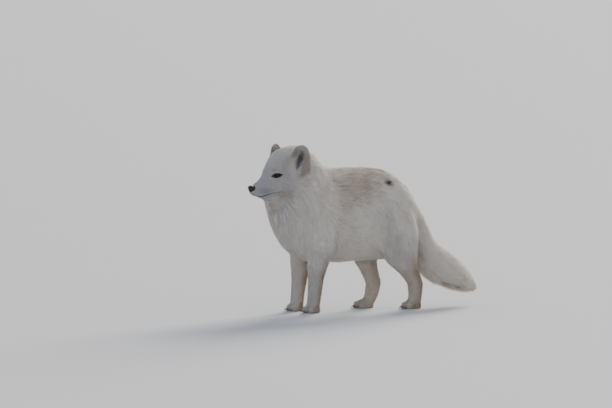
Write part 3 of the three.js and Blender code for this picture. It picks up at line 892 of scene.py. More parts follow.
FUR_FIELDS = ("length", "width", "density", "clump", "pull", "ruffle", "wisps", "stray")
FUR = {  # millimetres, tufts to the square centimetre, and shares
    "face": (6, 0.5, 150, 3.0, 0.2, 0.12, 0.0, 1.0),
    "crown": (19, 0.75, 105, 6.0, 0.35, 0.13, 0.05, 2.0),
    "ear": (9, 0.55, 165, 4.5, 0.45, 0.34, 0.16, 2.2),
    "neck": (40, 1.1, 80, 9.5, 0.5, 0.16, 0.09, 5.5),
    "trunk": (32, 1.0, 62, 7.0, 0.32, 0.13, 0.07, 4.5),
    "upper_leg": (29, 1.0, 66, 7.5, 0.36, 0.14, 0.07, 4.5),
    "lower_leg": (11, 0.65, 92, 4.0, 0.25, 0.12, 0.05, 2.0),
    "paw": (7, 0.55, 110, 3.0, 0.2, 0.12, 0.02, 1.0),
    "tail": (38, 1.1, 70, 8.5, 0.42, 0.22, 0.2, 8.0),
}
FIELD_UNITS = np.array([MM, MM, 1e4, MM, 1, 1, 1, MM])


def fur_fields(points, kinds, edges, inside_ear, face):
    """Sizes of the tufts at each vertex, running smoothly from one region to the next."""
    rows = np.array([FUR[COAT_OF[k][1]] for k in kinds]) * FIELD_UNITS
    front = ramp(in_head(points)[:, 0], -30 * MM, 10 * MM)[:, None]
    mixed = np.array(FUR["face"]) * FIELD_UNITS * front + np.array(FUR["crown"]) * FIELD_UNITS * (1 - front)
    rows = spread(np.where(is_kind(kinds, *SKULL)[:, None], mixed, rows), edges, 90)
    lids = np.ones(len(points))
    for name in SIDES:
        eye = EyeFrame(name, face)
        shorter = 0.35 + 0.65 * ramp(eye.outside(points), 1 * MM, 13 * MM)
        lids = np.minimum(lids, np.where(eye.local(points)[:, 2] > 0, shorter, 1))
    rows[:, 0] *= lids * (1 + 0.5 * inside_ear)
    rows[:, 1] *= 0.6 + 0.4 * lids
    return dict(zip(FUR_FIELDS, rows.T))


def unwrap(thing):
    """A map of the skin's own shape, which the tufts' patches are placed on."""
    thing.data.uv_layers.new(name="OFBake")
    bpy.context.view_layer.objects.active = thing
    thing.select_set(True)
    bpy.ops.object.mode_set(mode="EDIT")
    bpy.ops.mesh.select_all(action="SELECT")
    bpy.ops.uv.smart_project(angle_limit=math.radians(66), island_margin=0.002)
    bpy.ops.object.mode_set(mode="OBJECT")
    thing.select_set(False)


# ---------------------------------------------------------------- coat
WIDTHS = {2: (0.75, 0.9), 3: (0.7, 1.0, 0.7)}  # of a tuft with so many joints, at each but its tip
RISES = {2: (-0.06, 0.78, 1.0), 3: (-0.02, 0.6, 0.94, 1.0)}  # from the skin to the outer shape
RELIEF_STRETCH = np.array([0.8, 1.0, 0.5])  # the soft waves of the coat run longer down the body
PULL_GROWTH = 1.4  # how late along a tuft the pull of its leader comes
PATCH = 0.003  # a tuft's width and height on the OFBake map


class Surface:
    """Skin and outer shape of the coat, vertex by vertex, with what is stored on the skin."""

    def __init__(self):
        skin, shell = bpy.data.meshes[SKIN], bpy.data.meshes[SHELL]
        self.skin, self.shell = points_of(skin), points_of(shell)
        self.triangles = triangles_of(skin)
        self.tree = surface_tree(self.shell, self.triangles)
        self.normals = normals_at(self.shell, self.triangles)
        self.lie = np.stack([stored(skin, f"lie_{letter}") for letter in "xyz"], 1)
        self.kinds = stored(skin, "kind").astype(int)
        self.furred = stored(skin, "furred")
        self.marks = {finish: stored(skin, finish) for finish in FINISHES}
        self.fur = {field: stored(skin, field) for field in FUR_FIELDS}
        self.uv = rows_of(skin.uv_layers["OFBake"].data, "uv", 2)[triangles_of(skin, "loops")]
        a, b, c = corners_of(self.shell, self.triangles)
        self.areas = np.linalg.norm(np.cross(b - a, c - a), axis=1) / 2

    def at(self, values, faces, weights):
        """Values of the vertices, mixed by each place's weights in its triangle."""
        return np.einsum("nk,nk...->n...", weights, values[self.triangles[faces]])

    def nearest(self, points):
        """The nearest place on the outer shape to each point: triangles and weights."""
        found = [self.tree.find_nearest(p) for p in points.tolist()]
        faces = np.fromiter((f[2] for f in found), np.int32, len(found))
        places = np.array([f[0][:] for f in found])
        a, b, c = corners_of(self.shell, self.triangles[faces])
        ab, ac, ap = b - a, c - a, places - a
        d00, d01, d11 = (ab * ab).sum(1), (ab * ac).sum(1), (ac * ac).sum(1)
        d20, d21 = (ap * ab).sum(1), (ap * ac).sum(1)
        scale = np.maximum(d00 * d11 - d01 * d01, 1e-18)
        v, w = (d11 * d20 - d01 * d21) / scale, (d00 * d21 - d01 * d20) / scale
        weights = np.clip(np.stack([1 - v - w, v, w], 1), 0, 1)
        return faces, weights / weights.sum(1, keepdims=True)


def scatter(surface, mask, density, rng):
    """Evenly spread places on the masked triangles, so many to the square metre at each vertex."""
    chosen = np.flatnonzero(mask)
    share = surface.areas[chosen] * (surface.furred * density)[surface.triangles[chosen]].mean(1)
    count = int(share.sum())
    marks = (np.arange(count) + rng.uniform(0, 1, count)) / count * share.sum()
    faces = chosen[np.minimum(np.searchsorted(np.cumsum(share), marks), len(chosen) - 1)]
    r, s = np.sqrt(rng.uniform(0, 1, count)), rng.uniform(0, 1, count)
    return faces, np.stack([1 - r, r * (1 - s), r * s], 1)


def combed(surface, faces, weights, lengths, turns, heights, joints):
    """Paths that start on the skin, follow the lie and end at the outer shape, with the normals there.

    Also gives the places on the surface that the last two joints lie over."""
    paths, outs, reached = [], [], []
    for j, rise in enumerate(RISES[joints]):
        reached.append((faces, weights))
        normal = unit(surface.at(surface.normals, faces, weights))
        skin, shell = surface.at(surface.skin, faces, weights), surface.at(surface.shell, faces, weights)
        paths.append(skin + (shell - skin) * np.reshape(rise * (heights if j else 1.0), (-1, 1)))
        outs.append(normal)
        if j < joints:
            way = turned(unit(surface.at(surface.lie, faces, weights)), normal, turns)
            faces, weights = surface.nearest(shell + way * (lengths / joints)[:, None])
    return np.stack(paths, 1), np.stack(outs, 1), reached[-2:]


class Leaders:
    """A sparse set of leading tufts that the others are drawn to, so that the coat falls in locks."""

    def __init__(self, surface, rng):
        everywhere = np.ones(len(surface.triangles), bool)
        faces, weights = scatter(surface, everywhere, 1 / surface.fur["clump"] ** 2, rng)
        count = len(faces)
        starts = surface.at(surface.shell, faces, weights)
        turns = 0.14 * ripples(starts, 45 * MM, 70) + rng.normal(0, 0.09, count)
        high = np.clip(1.0 + 0.07 * rng.normal(0, 1, count), 0.8, 1.14)
        lengths = surface.at(surface.fur["length"], faces, weights) * rng.uniform(0.85, 1.15, count)
        self.paths = {joints: combed(surface, faces, weights, lengths, turns, high, joints)[0]
                      for joints in RISES}
        self.tree = point_tree(starts)

    def draw(self, roots, paths, pull):
        """The paths, drawn to their nearest leader more and more towards their tips."""
        joints = paths.shape[1] - 1
        nearest = np.fromiter((self.tree.find(p)[1] for p in roots.tolist()), np.int32, len(roots))
        growth = (np.arange(joints + 1) / joints) ** PULL_GROWTH
        share = (pull[:, None] * growth)[:, :, None]
        return paths + (self.paths[joints][nearest] - paths) * share


def tuft_mesh(name, surface, faces, weights, paths, outs, ends, wide, rng):
    """Each path becomes a ribbon that tapers to a point, with its patch on the OFBake map.

    Its markings and painted shade are those of the surface that its outer end lies over, so that they stay
    in place."""
    count, joints = len(paths), paths.shape[1] - 1
    each = 2 * joints + 1
    ways = unit(np.gradient(paths, axis=1))
    across = unit(np.cross(ways, outs))
    twist = rng.normal(0, 0.5, count)[:, None, None]
    across = across * np.cos(twist) + np.cross(ways, across) * np.sin(twist)
    widths = wide[:, None] * np.array(WIDTHS[joints])
    half = across[:, :joints] * widths[:, :, None] / 2
    points = np.empty((count, each, 3))
    points[:, 0:2 * joints:2] = paths[:, :joints] - half
    points[:, 1:2 * joints:2] = paths[:, :joints] + half
    points[:, -1] = paths[:, -1]
    points[:, :, 2] = np.maximum(points[:, :, 2], 0.2 * MM)

    first = (np.arange(count) * each)[:, None]
    quads = np.concatenate([first + [2 * j, 2 * j + 1, 2 * j + 3, 2 * j + 2] for j in range(joints - 1)])
    tips = first + [each - 3, each - 2, each - 1]
    mesh = mesh_of(name, points.reshape(-1, 3), [quads, tips])

    along = np.append(np.repeat(np.arange(joints) / joints, 2), 1.0)
    beside = np.append(np.tile([-0.5, 0.5], joints), 0.0)
    roots = np.einsum("nk,nkc->nc", weights, surface.uv[faces])
    roots = np.clip(roots, PATCH, 1 - PATCH)
    uv = roots[:, None] + PATCH * np.stack([beside, along - 0.5], 1)
    corner = rows_of(mesh.loops, "vertex_index", 1, np.int32)[:, 0]
    layer = mesh.uv_layers.new(name="OFBake")
    layer.data.foreach_set("uv", uv.reshape(-1, 2)[corner].astype(np.float32).ravel())

    store(mesh, "tip", np.tile(along, count))
    store(mesh, "strand", np.repeat(rng.uniform(0, 1, count), each))
    share = rng.uniform(0.45, 1, count)
    for finish in FINISHES:
        before, end = (surface.at(surface.marks[finish], *place) for place in ends)
        store(mesh, finish, np.repeat(before + (end - before) * share, each))
    return mesh


def coat_regions(surface):
    """Which triangles each piece of the coat covers, the joints of its tufts and its material slot."""
    middles = surface.shell[surface.triangles].mean(1)

    def part(*starts):
        return is_kind(surface.kinds[surface.triangles[:, 0]], *starts)

    skull, left = part(*SKULL), middles[:, 1] < 0
    face = skull & (in_head(middles)[:, 0] > -14 * MM)

    return {
        "coat_face": (face, 2, "white_coat"),
        "coat_head": (skull & ~face, 3, "white_coat"),
        "coat_ears": (part("ear"), 2, "ear_coat"),
        "coat_neck_left": (part("neck") & left, 3, "white_coat"),
        "coat_neck_right": (part("neck") & ~left, 3, "white_coat"),
        "coat_trunk_left": (part("trunk") & left, 3, "back_coat"),
        "coat_trunk_right": (part("trunk") & ~left, 3, "back_coat"),
        "coat_shoulders": (part("shoulder"), 3, "white_coat"),
        "coat_thighs": (part("thigh"), 3, "white_coat"),
        "coat_front_legs": (part("forearm", "front_paw"), 2, "leg_coat"),
        "coat_hind_legs": (part("shank", "metatarsus", "hind_paw"), 2, "leg_coat"),
        "coat_tail": (part("tail"), 3, "white_coat"),
    }


def build_coat():
    surface = Surface()
    settings = bpy.context.scene.fox_coat
    leaders = Leaders(surface, np.random.default_rng(settings.seed))
    made = []
    for number, (name, (mask, joints, slot)) in enumerate(coat_regions(surface).items()):
        rng = np.random.default_rng(settings.seed * 100 + number)
        faces, weights = scatter(surface, mask, surface.fur["density"] * settings.density, rng)
        count = len(faces)
        roots = surface.at(surface.shell, faces, weights)
        here = {field: surface.at(values, faces, weights) for field, values in surface.fur.items()}
        turns = here["ruffle"] * (ripples(roots, 30 * MM, 40) + rng.normal(0, 1, count))
        wisp = rng.uniform(0, 1, count) < here["wisps"]
        depth = np.linalg.norm(roots - surface.at(surface.skin, faces, weights), axis=1)
        stray = here["stray"] * rng.uniform(0.2, 1, count)
        relief = 0.07 * ripples(roots * RELIEF_STRETCH, 26 * MM, 91)
        heights = np.clip(rng.normal(1.02, 0.08, count) + relief, 0.6, 1.2)
        heights = np.where(wisp, 1 + stray / np.maximum(depth, 1 * MM), heights)
        lengths = here["length"] * rng.uniform(0.75, 1.2, count)
        paths, outs, ends = combed(surface, faces, weights, lengths, turns, heights, joints)
        pull = here["pull"] * rng.uniform(0.55, 1.25, count) * np.where(wisp, 0.2, 1)
        paths = leaders.draw(roots, paths, pull)
        wide = here["width"] * rng.uniform(0.7, 1.3, count) * np.where(wisp, 0.6, 1)
        mesh = tuft_mesh(name, surface, faces, weights, paths, outs, ends, wide, rng)
        made.append((show(mesh, material(coat_finish)), slot))
    return made


# ---------------------------------------------------------------- shapes of the small pieces
def ring_faces(rows, around):
    """Quads between rows of points that each close on themselves, and a fan over each end row."""
    index = np.arange(rows * around).reshape(rows, around)
    nexts = np.roll(index, -1, axis=1)
    quads = np.stack([index[:-1], nexts[:-1], nexts[1:], index[1:]], -1).reshape(-1, 4)
    first = np.stack([np.full(around, rows * around), nexts[0], index[0]], -1)
    last = np.stack([np.full(around, rows * around + 1), index[-1], nexts[-1]], -1)
    return [quads, np.concatenate([first, last])]


def rings(line, ways, guides, radii, around):
    """A ring of points round each place of a line, square to its way."""
    a = unit(np.cross(ways, guides))
    b = np.cross(a, ways)
    angles = np.linspace(0, 2 * math.pi, around, endpoint=False)
    circle = np.cos(angles)[None, :, None] * a[:, None] + np.sin(angles)[None, :, None] * b[:, None]
    return line[:, None] + circle * np.reshape(radii, (-1, 1, 1))


def tube(line, radii, around=8):
    """Points and faces of a round closed tube along a line."""
    ways = unit(np.gradient(line, axis=0))
    guides = np.where(np.abs(ways @ UP)[:, None] > 0.9, BACK, UP)
    rows = rings(line, ways, guides, radii, around)
    return np.concatenate([rows.reshape(-1, 3), line[:1], line[-1:]]), ring_faces(len(line), around)


def merged(parts):
    """Several sets of points and faces as one."""
    points, faces, start = [], [], 0
    for part_points, part_faces in parts:
        points.append(part_points)
        faces.extend(f + start for f in part_faces)
        start += len(part_points)
    return np.concatenate(points), faces


def ball(rows, around, shape):
    """A closed shape from a function of the angles down from its pole and round it."""
    down = np.linspace(0, math.pi, rows + 2)[1:-1]
    about = np.linspace(0, 2 * math.pi, around, endpoint=False)
    theta, phi = np.meshgrid(down, about, indexing="ij")
    ends = shape(np.array([0.0, math.pi]), np.array([0.0, 0.0]))
    return np.concatenate([shape(theta.ravel(), phi.ravel()), ends]), ring_faces(rows, around)


CORNEA = {"height": 0.7 * MM, "angle": 0.55}
EYE_GAP = 0.1 * MM  # between the eyeball and the solid that it replaces


def eyeball(eye):
    """A ball with the clear bulge of the cornea, its pole looking out."""
    def shape(theta, phi):
        radius = EYE_RADIUS - EYE_GAP + CORNEA["height"] * hill(theta, 0, CORNEA["angle"])
        flat = radius * np.sin(theta)
        return eye.world(flat * np.cos(phi), flat * np.sin(phi), radius * np.cos(theta))
    return ball(40, 56, shape)


RIM = {"long": 1.03, "high": 1.05, "over": 0.55 * MM, "thick": 0.65 * MM, "corners": 0.45 * MM}


def eye_rim(eye):
    """The dark edge of the lids: a tube that follows the almond opening, thicker at its corners."""
    angles = np.linspace(0, 2 * math.pi, 72, endpoint=False)
    along = eye.half_length * RIM["long"] * np.cos(angles)
    up = np.sign(np.sin(angles)) * eye.half_height * RIM["high"] * np.abs(np.sin(angles)) ** 1.5
    out = np.sqrt(np.maximum((EYE_RADIUS + RIM["over"]) ** 2 - along ** 2 - up ** 2, (1.5 * MM) ** 2))
    line = eye.world(along, up, out)
    ways = unit(np.roll(line, -1, axis=0) - np.roll(line, 1, axis=0))
    radii = RIM["thick"] + RIM["corners"] * np.abs(np.cos(angles)) ** 6
    rows = rings(line, ways, unit(line - eye.centre), radii, 10)
    index = np.arange(rows.shape[0] * rows.shape[1]).reshape(rows.shape[:2])
    ahead, beside = np.roll(index, -1, axis=0), np.roll(index, -1, axis=1)
    both = np.roll(ahead, -1, axis=1)
    return rows.reshape(-1, 3), [np.stack([index, beside, both, ahead], -1).reshape(-1, 4)]


NOSE_SIZE = np.array([8.6, 8.2, 7.9])  # half its depth, width and height, in mm
NOSE_BOXY = 2.5  # 2 is round, and more is squarer
NOSE_DENTS = (  # out and up from its middle, how wide and high, how far ahead it starts, and depth in mm
    ((0.52, -0.02), (0.2, 0.24), 0, 2.9),  # nostril
    ((0.86, -0.3), (0.24, 0.13), -0.3, 1.7),  # slit behind the nostril
    ((0.6, 0.36), (0.3, 0.2), 0, -0.5),  # wing over the nostril
)


def nose_pad():
    """The nose: a rounded pad, narrower below, with two nostrils open to the sides and a groove between."""
    def shape(theta, phi):
        ways = np.stack([np.cos(theta), np.sin(theta) * np.cos(phi), np.sin(theta) * np.sin(phi)])
        a, s, u = ways / (np.abs(ways) ** NOSE_BOXY).sum(0) ** (1 / NOSE_BOXY)
        narrow = 1 - 0.22 * ramp(-u, -0.1, 1.0)
        depth = 0.9 * hill(s, 0, 0.075) * ramp(-u, -0.45, 0.3) * (a > 0)
        for (out, up), (wide, high), start, deep in NOSE_DENTS:
            depth += deep * hill(np.abs(s), out, wide) * hill(u, up, high) * (a > start)
        grow = 1 - depth / NOSE_SIZE[0] * 0.8
        place = np.stack([a * NOSE_SIZE[0], s * NOSE_SIZE[1] * narrow, u * NOSE_SIZE[2]], -1) * grow[:, None]
        place[:, 0] += 0.16 * place[:, 2] + 1.6
        return place
    points, faces = ball(60, 96, shape)
    centre = in_head(NOSE_MIDDLE[None])[0]
    return from_head(*(centre[:, None] + points.T * MM)), faces


CLAW = {"length": 11, "radius": 1.7, "height": 6.5, "drop": 4.6, "in_toe": 1.5}  # in mm
CLAW_SPLAY = 0.04  # how much further out the tips are than the roots


def paw_claws(node):
    """Four curved claws that come out of the toes."""
    share = np.linspace(0, 1, 9)
    parts = []
    for out, back in PAW_TOES:
        x = corners(node)[0][0] + (back + CLAW["length"] * (1 - share) - CLAW["in_toe"]) * MM
        y = across_paw(node, out * (1 + CLAW_SPLAY * share))
        z = (CLAW["height"] - CLAW["drop"] * share ** 2) * MM
        radii = CLAW["radius"] * MM * np.sqrt(np.maximum(1 - share ** 1.6, 0.006))
        parts.append(tube(np.stack([x, y, z], 1), radii, 10))
    return merged(parts)


WHISKER_ROWS, WHISKER_COLUMNS = (-29, -33, -37.5), (46, 41, 36, 31)  # up from and ahead of the brow, in mm
WHISKER = {"radius": 0.24 * MM, "front": 26, "more": 3.0, "most": 62, "droop": 0.6}  # lengths in mm


def skin_tree():
    skin = bpy.data.meshes[SKIN]
    return surface_tree(points_of(skin), triangles_of(skin))


def whiskers():
    """Long stiff hairs in rows on each side of the muzzle."""
    rng = np.random.default_rng(5)
    tree, parts = skin_tree(), []
    share = np.linspace(0, 1, 9)[:, None]
    places = [(ahead, up) for up in WHISKER_ROWS for ahead in WHISKER_COLUMNS]
    for side in (1, -1):
        for ahead, up in places:
            root = from_side(tree, (ahead + rng.uniform(-1, 1)) * MM, side, (up + rng.uniform(-1, 1)) * MM)
            if root is None:
                continue
            length = min(WHISKER["front"] + WHISKER["more"] * (48 - ahead), WHISKER["most"])
            length *= MM * rng.uniform(0.8, 1.05)
            out = unit(side * LEFT * (0.75 + rng.uniform(-0.1, 0.1)) - 0.55 * AHEAD + 0.12 * DOWN)
            bend = (0.16 * DOWN - 0.3 * AHEAD) * WHISKER["droop"]
            line = root - out * MM + length * (share * out + share ** 2 * bend)
            parts.append(tube(line, WHISKER["radius"] * (1 - 0.85 * share[:, 0]), 5))
    return merged(parts)


# ---------------------------------------------------------------- finishes
class Nodes:
    """Adds nodes to a tree and feeds their sockets from other sockets or from constants."""

    def __init__(self, tree):
        self.tree = tree

    def feed(self, node, feeds):
        for name, value in dict(feeds).items():
            if isinstance(value, bpy.types.NodeSocket):
                self.tree.links.new(value, node.inputs[name])
            else:
                node.inputs[name].default_value = value

    def add(self, kind, feeds=(), **settings):
        made = self.tree.nodes.new(kind)
        for name, value in settings.items():
            setattr(made, name, value)
        self.feed(made, feeds)
        return made

    def mask(self, name):
        return self.add("ShaderNodeAttribute", attribute_name=name).outputs["Fac"]

    def maths(self, operation, a, b):
        return self.add("ShaderNodeMath", {0: a, 1: b}, operation=operation).outputs[0]

    def span(self, value, low, high, to_low=0.0, to_high=1.0):
        feeds = {"Value": value, "From Min": low, "From Max": high, "To Min": to_low, "To Max": to_high}
        return self.add("ShaderNodeMapRange", feeds).outputs["Result"]

    def mix(self, share, a, b, blend="MIX"):
        feeds = {0: share, 6: a, 7: b}
        return self.add("ShaderNodeMix", feeds, data_type="RGBA", blend_type=blend).outputs[2]

    def place(self):
        return self.add("ShaderNodeTexCoord").outputs["Object"]

    def noise(self, scale, detail):
        feeds = {"Vector": self.place(), "Scale": scale, "Detail": detail, "Roughness": 0.55}
        return self.add("ShaderNodeTexNoise", feeds).outputs["Fac"]

    def bump(self, height, distance, strength):
        feeds = {"Height": height, "Distance": distance, "Strength": strength}
        return self.add("ShaderNodeBump", feeds).outputs["Normal"]


def rgba(value):
    return (*value, 1.0)


MARKING_AND_SHADE_COLOURS = ("Pale", "Cool", "Dusky", "Tan", "Stain", "Dark")
LEAST = {"Dusky": 0.6, "Tan": 0.6, "Stain": 0.6, "Dark": 0.85}  # how faint noise may make a marking


def markings_group():
    """Coat colour from the masks stored on the mesh, broken up by noise. The masks hold the markings and
    painted shade in folds, furrows and hollows.
    """
    name = "coat markings"
    if name in bpy.data.node_groups:
        return bpy.data.node_groups[name]
    group = bpy.data.node_groups.new(name, "ShaderNodeTree")
    for label in MARKING_AND_SHADE_COLOURS:
        group.interface.new_socket(name=label, in_out="INPUT", socket_type="NodeSocketColor")
    group.interface.new_socket(name="Color", in_out="OUTPUT", socket_type="NodeSocketColor")
    nodes = Nodes(group)
    given, made = nodes.add("NodeGroupInput").outputs, nodes.add("NodeGroupOutput")
    broad, fine = nodes.noise(38.0, 4.0), nodes.noise(210.0, 3.0)
    tint = nodes.mix(nodes.span(broad, 0.42, 0.7, 0.0, 0.16), given["Pale"], given["Tan"])
    tint = nodes.mix(nodes.mask("cool"), tint, given["Cool"])
    for finish, least in LEAST.items():
        ragged = nodes.maths("MULTIPLY", nodes.mask(finish.lower()), nodes.span(fine, 0.25, 0.7, least, 1.1))
        tint = nodes.mix(nodes.maths("MINIMUM", ragged, 1.0), tint, given[finish])
    nodes.feed(made, {"Color": tint})
    return group


def marked(nodes, colours):
    """The group of markings and painted shade, placed in a material with the coat's colours."""
    feeds = {label: rgba(getattr(colours, label.lower())) for label in MARKING_AND_SHADE_COLOURS}
    return nodes.add("ShaderNodeGroup", feeds, node_tree=markings_group()).outputs["Color"]


# Each of these gives what feeds the sockets of its material's Principled shader.
def coat_finish(nodes, colours):
    """Fine hair: a little darker near the skin, which is painted shade deep in the coat, and slightly
    different from tuft to tuft.
    """
    strand = nodes.mask("strand")
    # painted shade: darker towards the roots of the tufts, times a random tone for each tuft
    shade = nodes.maths("MULTIPLY", nodes.span(nodes.mask("tip"), 0.0, 0.85, 0.62, 1.0),
                        nodes.span(strand, 0.0, 1.0, 0.86, 1.06))
    grey = nodes.add("ShaderNodeCombineColor", {"Red": shade, "Green": shade, "Blue": shade})
    return {
        "Base Color": nodes.mix(1.0, marked(nodes, colours), grey.outputs["Color"], "MULTIPLY"),
        "Roughness": nodes.span(strand, 0.0, 1.0, 0.55, 0.75),
        "Specular IOR Level": 0.25,
        "Sheen Weight": 0.25,
        "Sheen Roughness": 0.5,
    }


def skin_finish(nodes, colours):
    """Skin under the coat: its markings and painted shade, darker, with bare dark rims and the grain of
    short hair.
    """
    bare = nodes.mask("bare")
    tint = nodes.mix(1.0, marked(nodes, colours), (0.74, 0.71, 0.69, 1.0), "MULTIPLY")
    return {
        "Base Color": nodes.mix(bare, tint, rgba(colours.leather)),
        "Roughness": nodes.span(bare, 0.0, 1.0, 0.85, 0.38),
        "Normal": nodes.bump(nodes.noise(900.0, 3.0), 0.0004, 0.5),
    }


def leather_finish(nodes, colours):
    """Black moist leather of the nose, lips and eye rims, pebbled."""
    worn = nodes.noise(300.0, 3.0)
    cells = nodes.add("ShaderNodeTexVoronoi", {"Vector": nodes.place(), "Scale": 1500.0})
    dusty = (0.045, 0.04, 0.038, 1.0)
    return {
        "Base Color": nodes.mix(nodes.span(worn, 0.35, 0.75), rgba(colours.leather), dusty),
        "Roughness": nodes.span(worn, 0.3, 0.7, 0.28, 0.5),
        "Specular IOR Level": 0.22,
        "Normal": nodes.bump(cells.outputs["Distance"], 0.00025, 0.6),
    }


def eye_gloss_finish(nodes, colours):
    """Wet dark eye: a black pupil in a deep brown iris."""
    turn, fibres = nodes.mask("turn"), nodes.noise(1800.0, 4.0)
    iris = nodes.mix(fibres, rgba(colours.iris), rgba([c * 2.4 for c in colours.iris]))
    tint = nodes.mix(nodes.span(turn, 0.27, 0.33), (0.002, 0.0015, 0.001, 1.0), iris)
    return {
        "Base Color": nodes.mix(nodes.span(turn, 0.66, 0.76), tint, (0.01, 0.006, 0.004, 1.0)),
        "Roughness": nodes.span(fibres, 0.0, 1.0, 0.06, 0.12),
        "Specular IOR Level": 0.1,
        "Coat Weight": 0.12,
        "Coat Roughness": 0.02,
    }


def claw_horn_finish(nodes, colours):
    """Dark claw horn with fine streaks."""
    streaks = nodes.noise(700.0, 4.0)
    return {
        "Base Color": nodes.mix(streaks, rgba(colours.claw), rgba([min(c * 4, 1) for c in colours.claw])),
        "Roughness": nodes.span(streaks, 0.3, 0.7, 0.3, 0.5),
    }


def whisker_finish(nodes, colours):
    """Stiff hair, dark with paler stretches."""
    streaks = nodes.noise(150.0, 2.0)
    return {
        "Base Color": nodes.mix(streaks, rgba(colours.whisker), (0.32, 0.29, 0.26, 1.0)),
        "Roughness": nodes.span(streaks, 0.3, 0.7, 0.35, 0.5),
    }


def pale_floor_finish(nodes, colours):
    """A plain matt floor with faint clouds."""
    cloudy = nodes.span(nodes.noise(1.5, 2.0), 0.3, 0.7, 0.0, 0.06)
    return {
        "Base Color": nodes.mix(cloudy, rgba(colours.floor), (0.49, 0.5, 0.52, 1.0)),
        "Roughness": 0.9,
        "Specular IOR Level": 0.05,
    }


THROUGH = {"coat": 0.3}  # share of the light that a finish lets through


def material(finish):
    """The material of a finish, built once."""
    name = finish.__name__.removesuffix("_finish").replace("_", " ")
    if name in bpy.data.materials:
        return bpy.data.materials[name]
    made = bpy.data.materials.new(name)
    made.use_nodes = True
    made.node_tree.nodes.clear()
    nodes = Nodes(made.node_tree)
    feeds = finish(nodes, bpy.context.scene.fox_colours)
    surface = nodes.add("ShaderNodeBsdfPrincipled", feeds).outputs["BSDF"]
    if name in THROUGH:
        through = nodes.add("ShaderNodeBsdfTranslucent", {"Color": feeds["Base Color"]}).outputs["BSDF"]
        both = nodes.add("ShaderNodeMixShader", {0: THROUGH[name], 1: surface, 2: through})
        surface = both.outputs["Shader"]
    nodes.add("ShaderNodeOutputMaterial", {"Surface": surface})
    return made


# ---------------------------------------------------------------- stage
FLOOR_HALF = 200.0
CLIP_END = 1000.0
SKY_TINT = (0.86, 0.9, 1.0)
LIT_PLACE = Vector((0, 0, 0.2))
LIGHTS = (  # name, place, spread in degrees, setting that holds its strength, tint
    ("back light", (1.8, 1.55, 1.05), 24, "key", (1.0, 0.93, 0.84)),
    ("fill light", (-1.6, -2.6, 0.7), 60, "fill", (0.9, 0.95, 1.0)),
)


def placed(name, data, place, way):
    """A camera or a light at a place, looking along a way."""
    thing = bpy.data.objects.new(name, data)
    thing.location = place
    thing.rotation_euler = way.to_track_quat("-Z", "Y").to_euler()
    bpy.context.scene.collection.objects.link(thing)
    return thing


# ---------------------------------------------------------------- operators
class FOX_OT_skin(bpy.types.Operator):
    """Join the solids into one smooth skin that lies under the coat, with lids and a mouth"""

    bl_idname = "fox.skin"
    bl_label = "Skin"

    def execute(self, context):
        skin = show(build_skin(), material(skin_finish))
        unwrap(skin)
        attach(skin, BODY)
        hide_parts(*FLESH)
        return {"FINISHED"}


class FOX_OT_eyes(bpy.types.Operator):
    """Set two glossy dark eyes in their lids"""

    bl_idname = "fox.eyes"
    bl_label = "Eyes"

    def execute(self, context):
        for name in SIDES:
            eye = EyeFrame(name, context.scene.fox_face)
            points, faces = eyeball(eye)
            thing = show(mesh_of(f"eyeball_{name}", points, faces), material(eye_gloss_finish))
            store(thing.data, "turn", np.arccos(np.clip(unit(points - eye.centre) @ eye.out, -1, 1)))
            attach(thing, BODY)
            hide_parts(f"eye_{name}")
            rim = show(mesh_of(f"eye_rim_{name}", *eye_rim(eye)), material(leather_finish))
            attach(rim, BODY)
        return {"FINISHED"}


class FOX_OT_nose(bpy.types.Operator):
    """Build the nose with its nostrils"""

    bl_idname = "fox.nose"
    bl_label = "Nose"

    def execute(self, context):
        pad = show(mesh_of("nose_pad", *nose_pad()), material(leather_finish))
        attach(pad, BODY)
        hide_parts("nose")
        return {"FINISHED"}


class FOX_OT_lips(bpy.types.Operator):
    """Lay the dark lip along the mouth"""

    bl_idname = "fox.lips"
    bl_label = "Lips"

    def execute(self, context):
        line = dense_line(mouth_line(skin_tree()), 0.8 * MM)
        share = np.abs(np.linspace(-1, 1, len(line)))
        radii = context.scene.fox_face.lip * (1 - 0.7 * ramp(share, 0.3, 0.75))
        lips = show(mesh_of("lips", *tube(line, radii, 10)), material(leather_finish))
        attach(lips, BODY)
        return {"FINISHED"}


class FOX_OT_claws(bpy.types.Operator):
    """Put four claws on each paw"""

    bl_idname = "fox.claws"
    bl_label = "Claws"

    def execute(self, context):
        for node in PAWS:
            claws = show(mesh_of(node.replace("paw", "claws"), *paw_claws(node)), material(claw_horn_finish))
            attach(claws, BODY)
        return {"FINISHED"}


class FOX_OT_whiskers(bpy.types.Operator):
    """Add the whiskers"""

    bl_idname = "fox.whiskers"
    bl_label = "Whiskers"

    def execute(self, context):
        hairs = show(mesh_of("whiskers", *whiskers()), material(whisker_finish))
        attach(hairs, BODY)
        return {"FINISHED"}


class FOX_OT_coat(bpy.types.Operator):
    """Grow the coat: tufts that follow its lie, region by region"""

    bl_idname = "fox.coat"
    bl_label = "Coat"

    def execute(self, context):
        for piece, slot in build_coat():
            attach(piece, BODY)
        return {"FINISHED"}


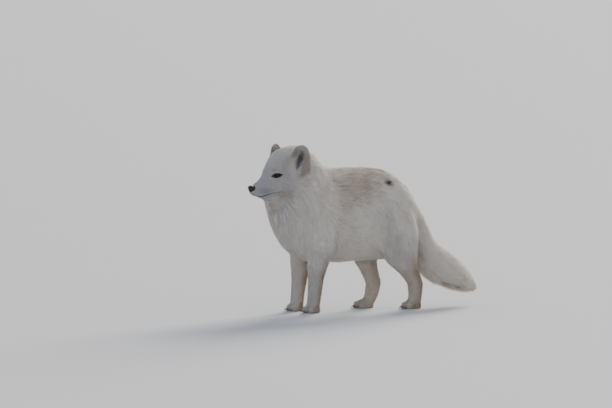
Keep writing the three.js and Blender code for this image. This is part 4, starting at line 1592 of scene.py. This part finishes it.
class FOX_OT_stage(bpy.types.Operator):
    """Add the pale floor, the soft lights and the camera"""

    bl_idname = "fox.stage"
    bl_label = "Stage"

    def execute(self, context):
        scene, settings = context.scene, context.scene.fox_stage
        square = FLOOR_HALF * np.array([(-1, -1, 0), (1, -1, 0), (1, 1, 0), (-1, 1, 0)])
        floor = show(mesh_of("floor", square, [np.array([[0, 1, 2, 3]])]), material(pale_floor_finish))
        floor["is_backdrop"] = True

        turn, rise = settings.azimuth, settings.elevation
        back = Vector((math.sin(turn) * math.cos(rise), -math.cos(turn) * math.cos(rise), math.sin(rise)))
        camera = bpy.data.cameras.new("camera")
        camera.lens = camera.sensor_width * settings.distance / settings.view_width
        camera.clip_end = CLIP_END
        scene.camera = placed("camera", camera, Vector(settings.aim) + back * settings.distance, -back)

        scene.world = bpy.data.worlds.new("soft sky")
        scene.world.use_nodes = True
        sky = scene.world.node_tree.nodes["Background"]
        sky.inputs["Color"].default_value = rgba(SKY_TINT)
        sky.inputs["Strength"].default_value = settings.sky
        for name, place, degrees, setting, tint in LIGHTS:
            light = bpy.data.lights.new(name, "SUN")
            light.angle, light.color = math.radians(degrees), tint
            light.energy = getattr(settings, setting)
            placed(name, light, place, LIT_PLACE - Vector(place))
        return {"FINISHED"}


STEPS = (FOX_OT_stage, FOX_OT_skin, FOX_OT_eyes, FOX_OT_nose, FOX_OT_lips, FOX_OT_claws, FOX_OT_whiskers,
         FOX_OT_coat)


class FOX_PT_panel(bpy.types.Panel):
    """Sizes, colours and steps of the fox"""

    bl_label = "Arctic fox"
    bl_idname = "FOX_PT_panel"
    bl_space_type = "VIEW_3D"
    bl_region_type = "UI"
    bl_category = "Fox"

    def draw(self, context):
        for group, kind in GROUPS.items():
            box = self.layout.box()
            for name in kind.__annotations__:
                box.prop(getattr(context.scene, group), name)
        for step in STEPS:
            self.layout.operator(step.bl_idname)


CLASSES = (*GROUPS.values(), *STEPS, FOX_PT_panel)


def register():
    for cls in CLASSES:
        bpy.utils.register_class(cls)
    for name, kind in GROUPS.items():
        setattr(bpy.types.Scene, name, PointerProperty(type=kind))


def unregister():
    for name in GROUPS:
        delattr(bpy.types.Scene, name)
    for cls in reversed(CLASSES):
        bpy.utils.unregister_class(cls)


def main():
    register()
    for step in STEPS:
        family, name = step.bl_idname.split(".")
        getattr(getattr(bpy.ops, family), name)()
    boxes = {"cad": CAD_BOX, "visual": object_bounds()}
    {name: [list(corner) for corner in box] for name, box in boxes.items()}


if __name__ == "__main__":
    main()
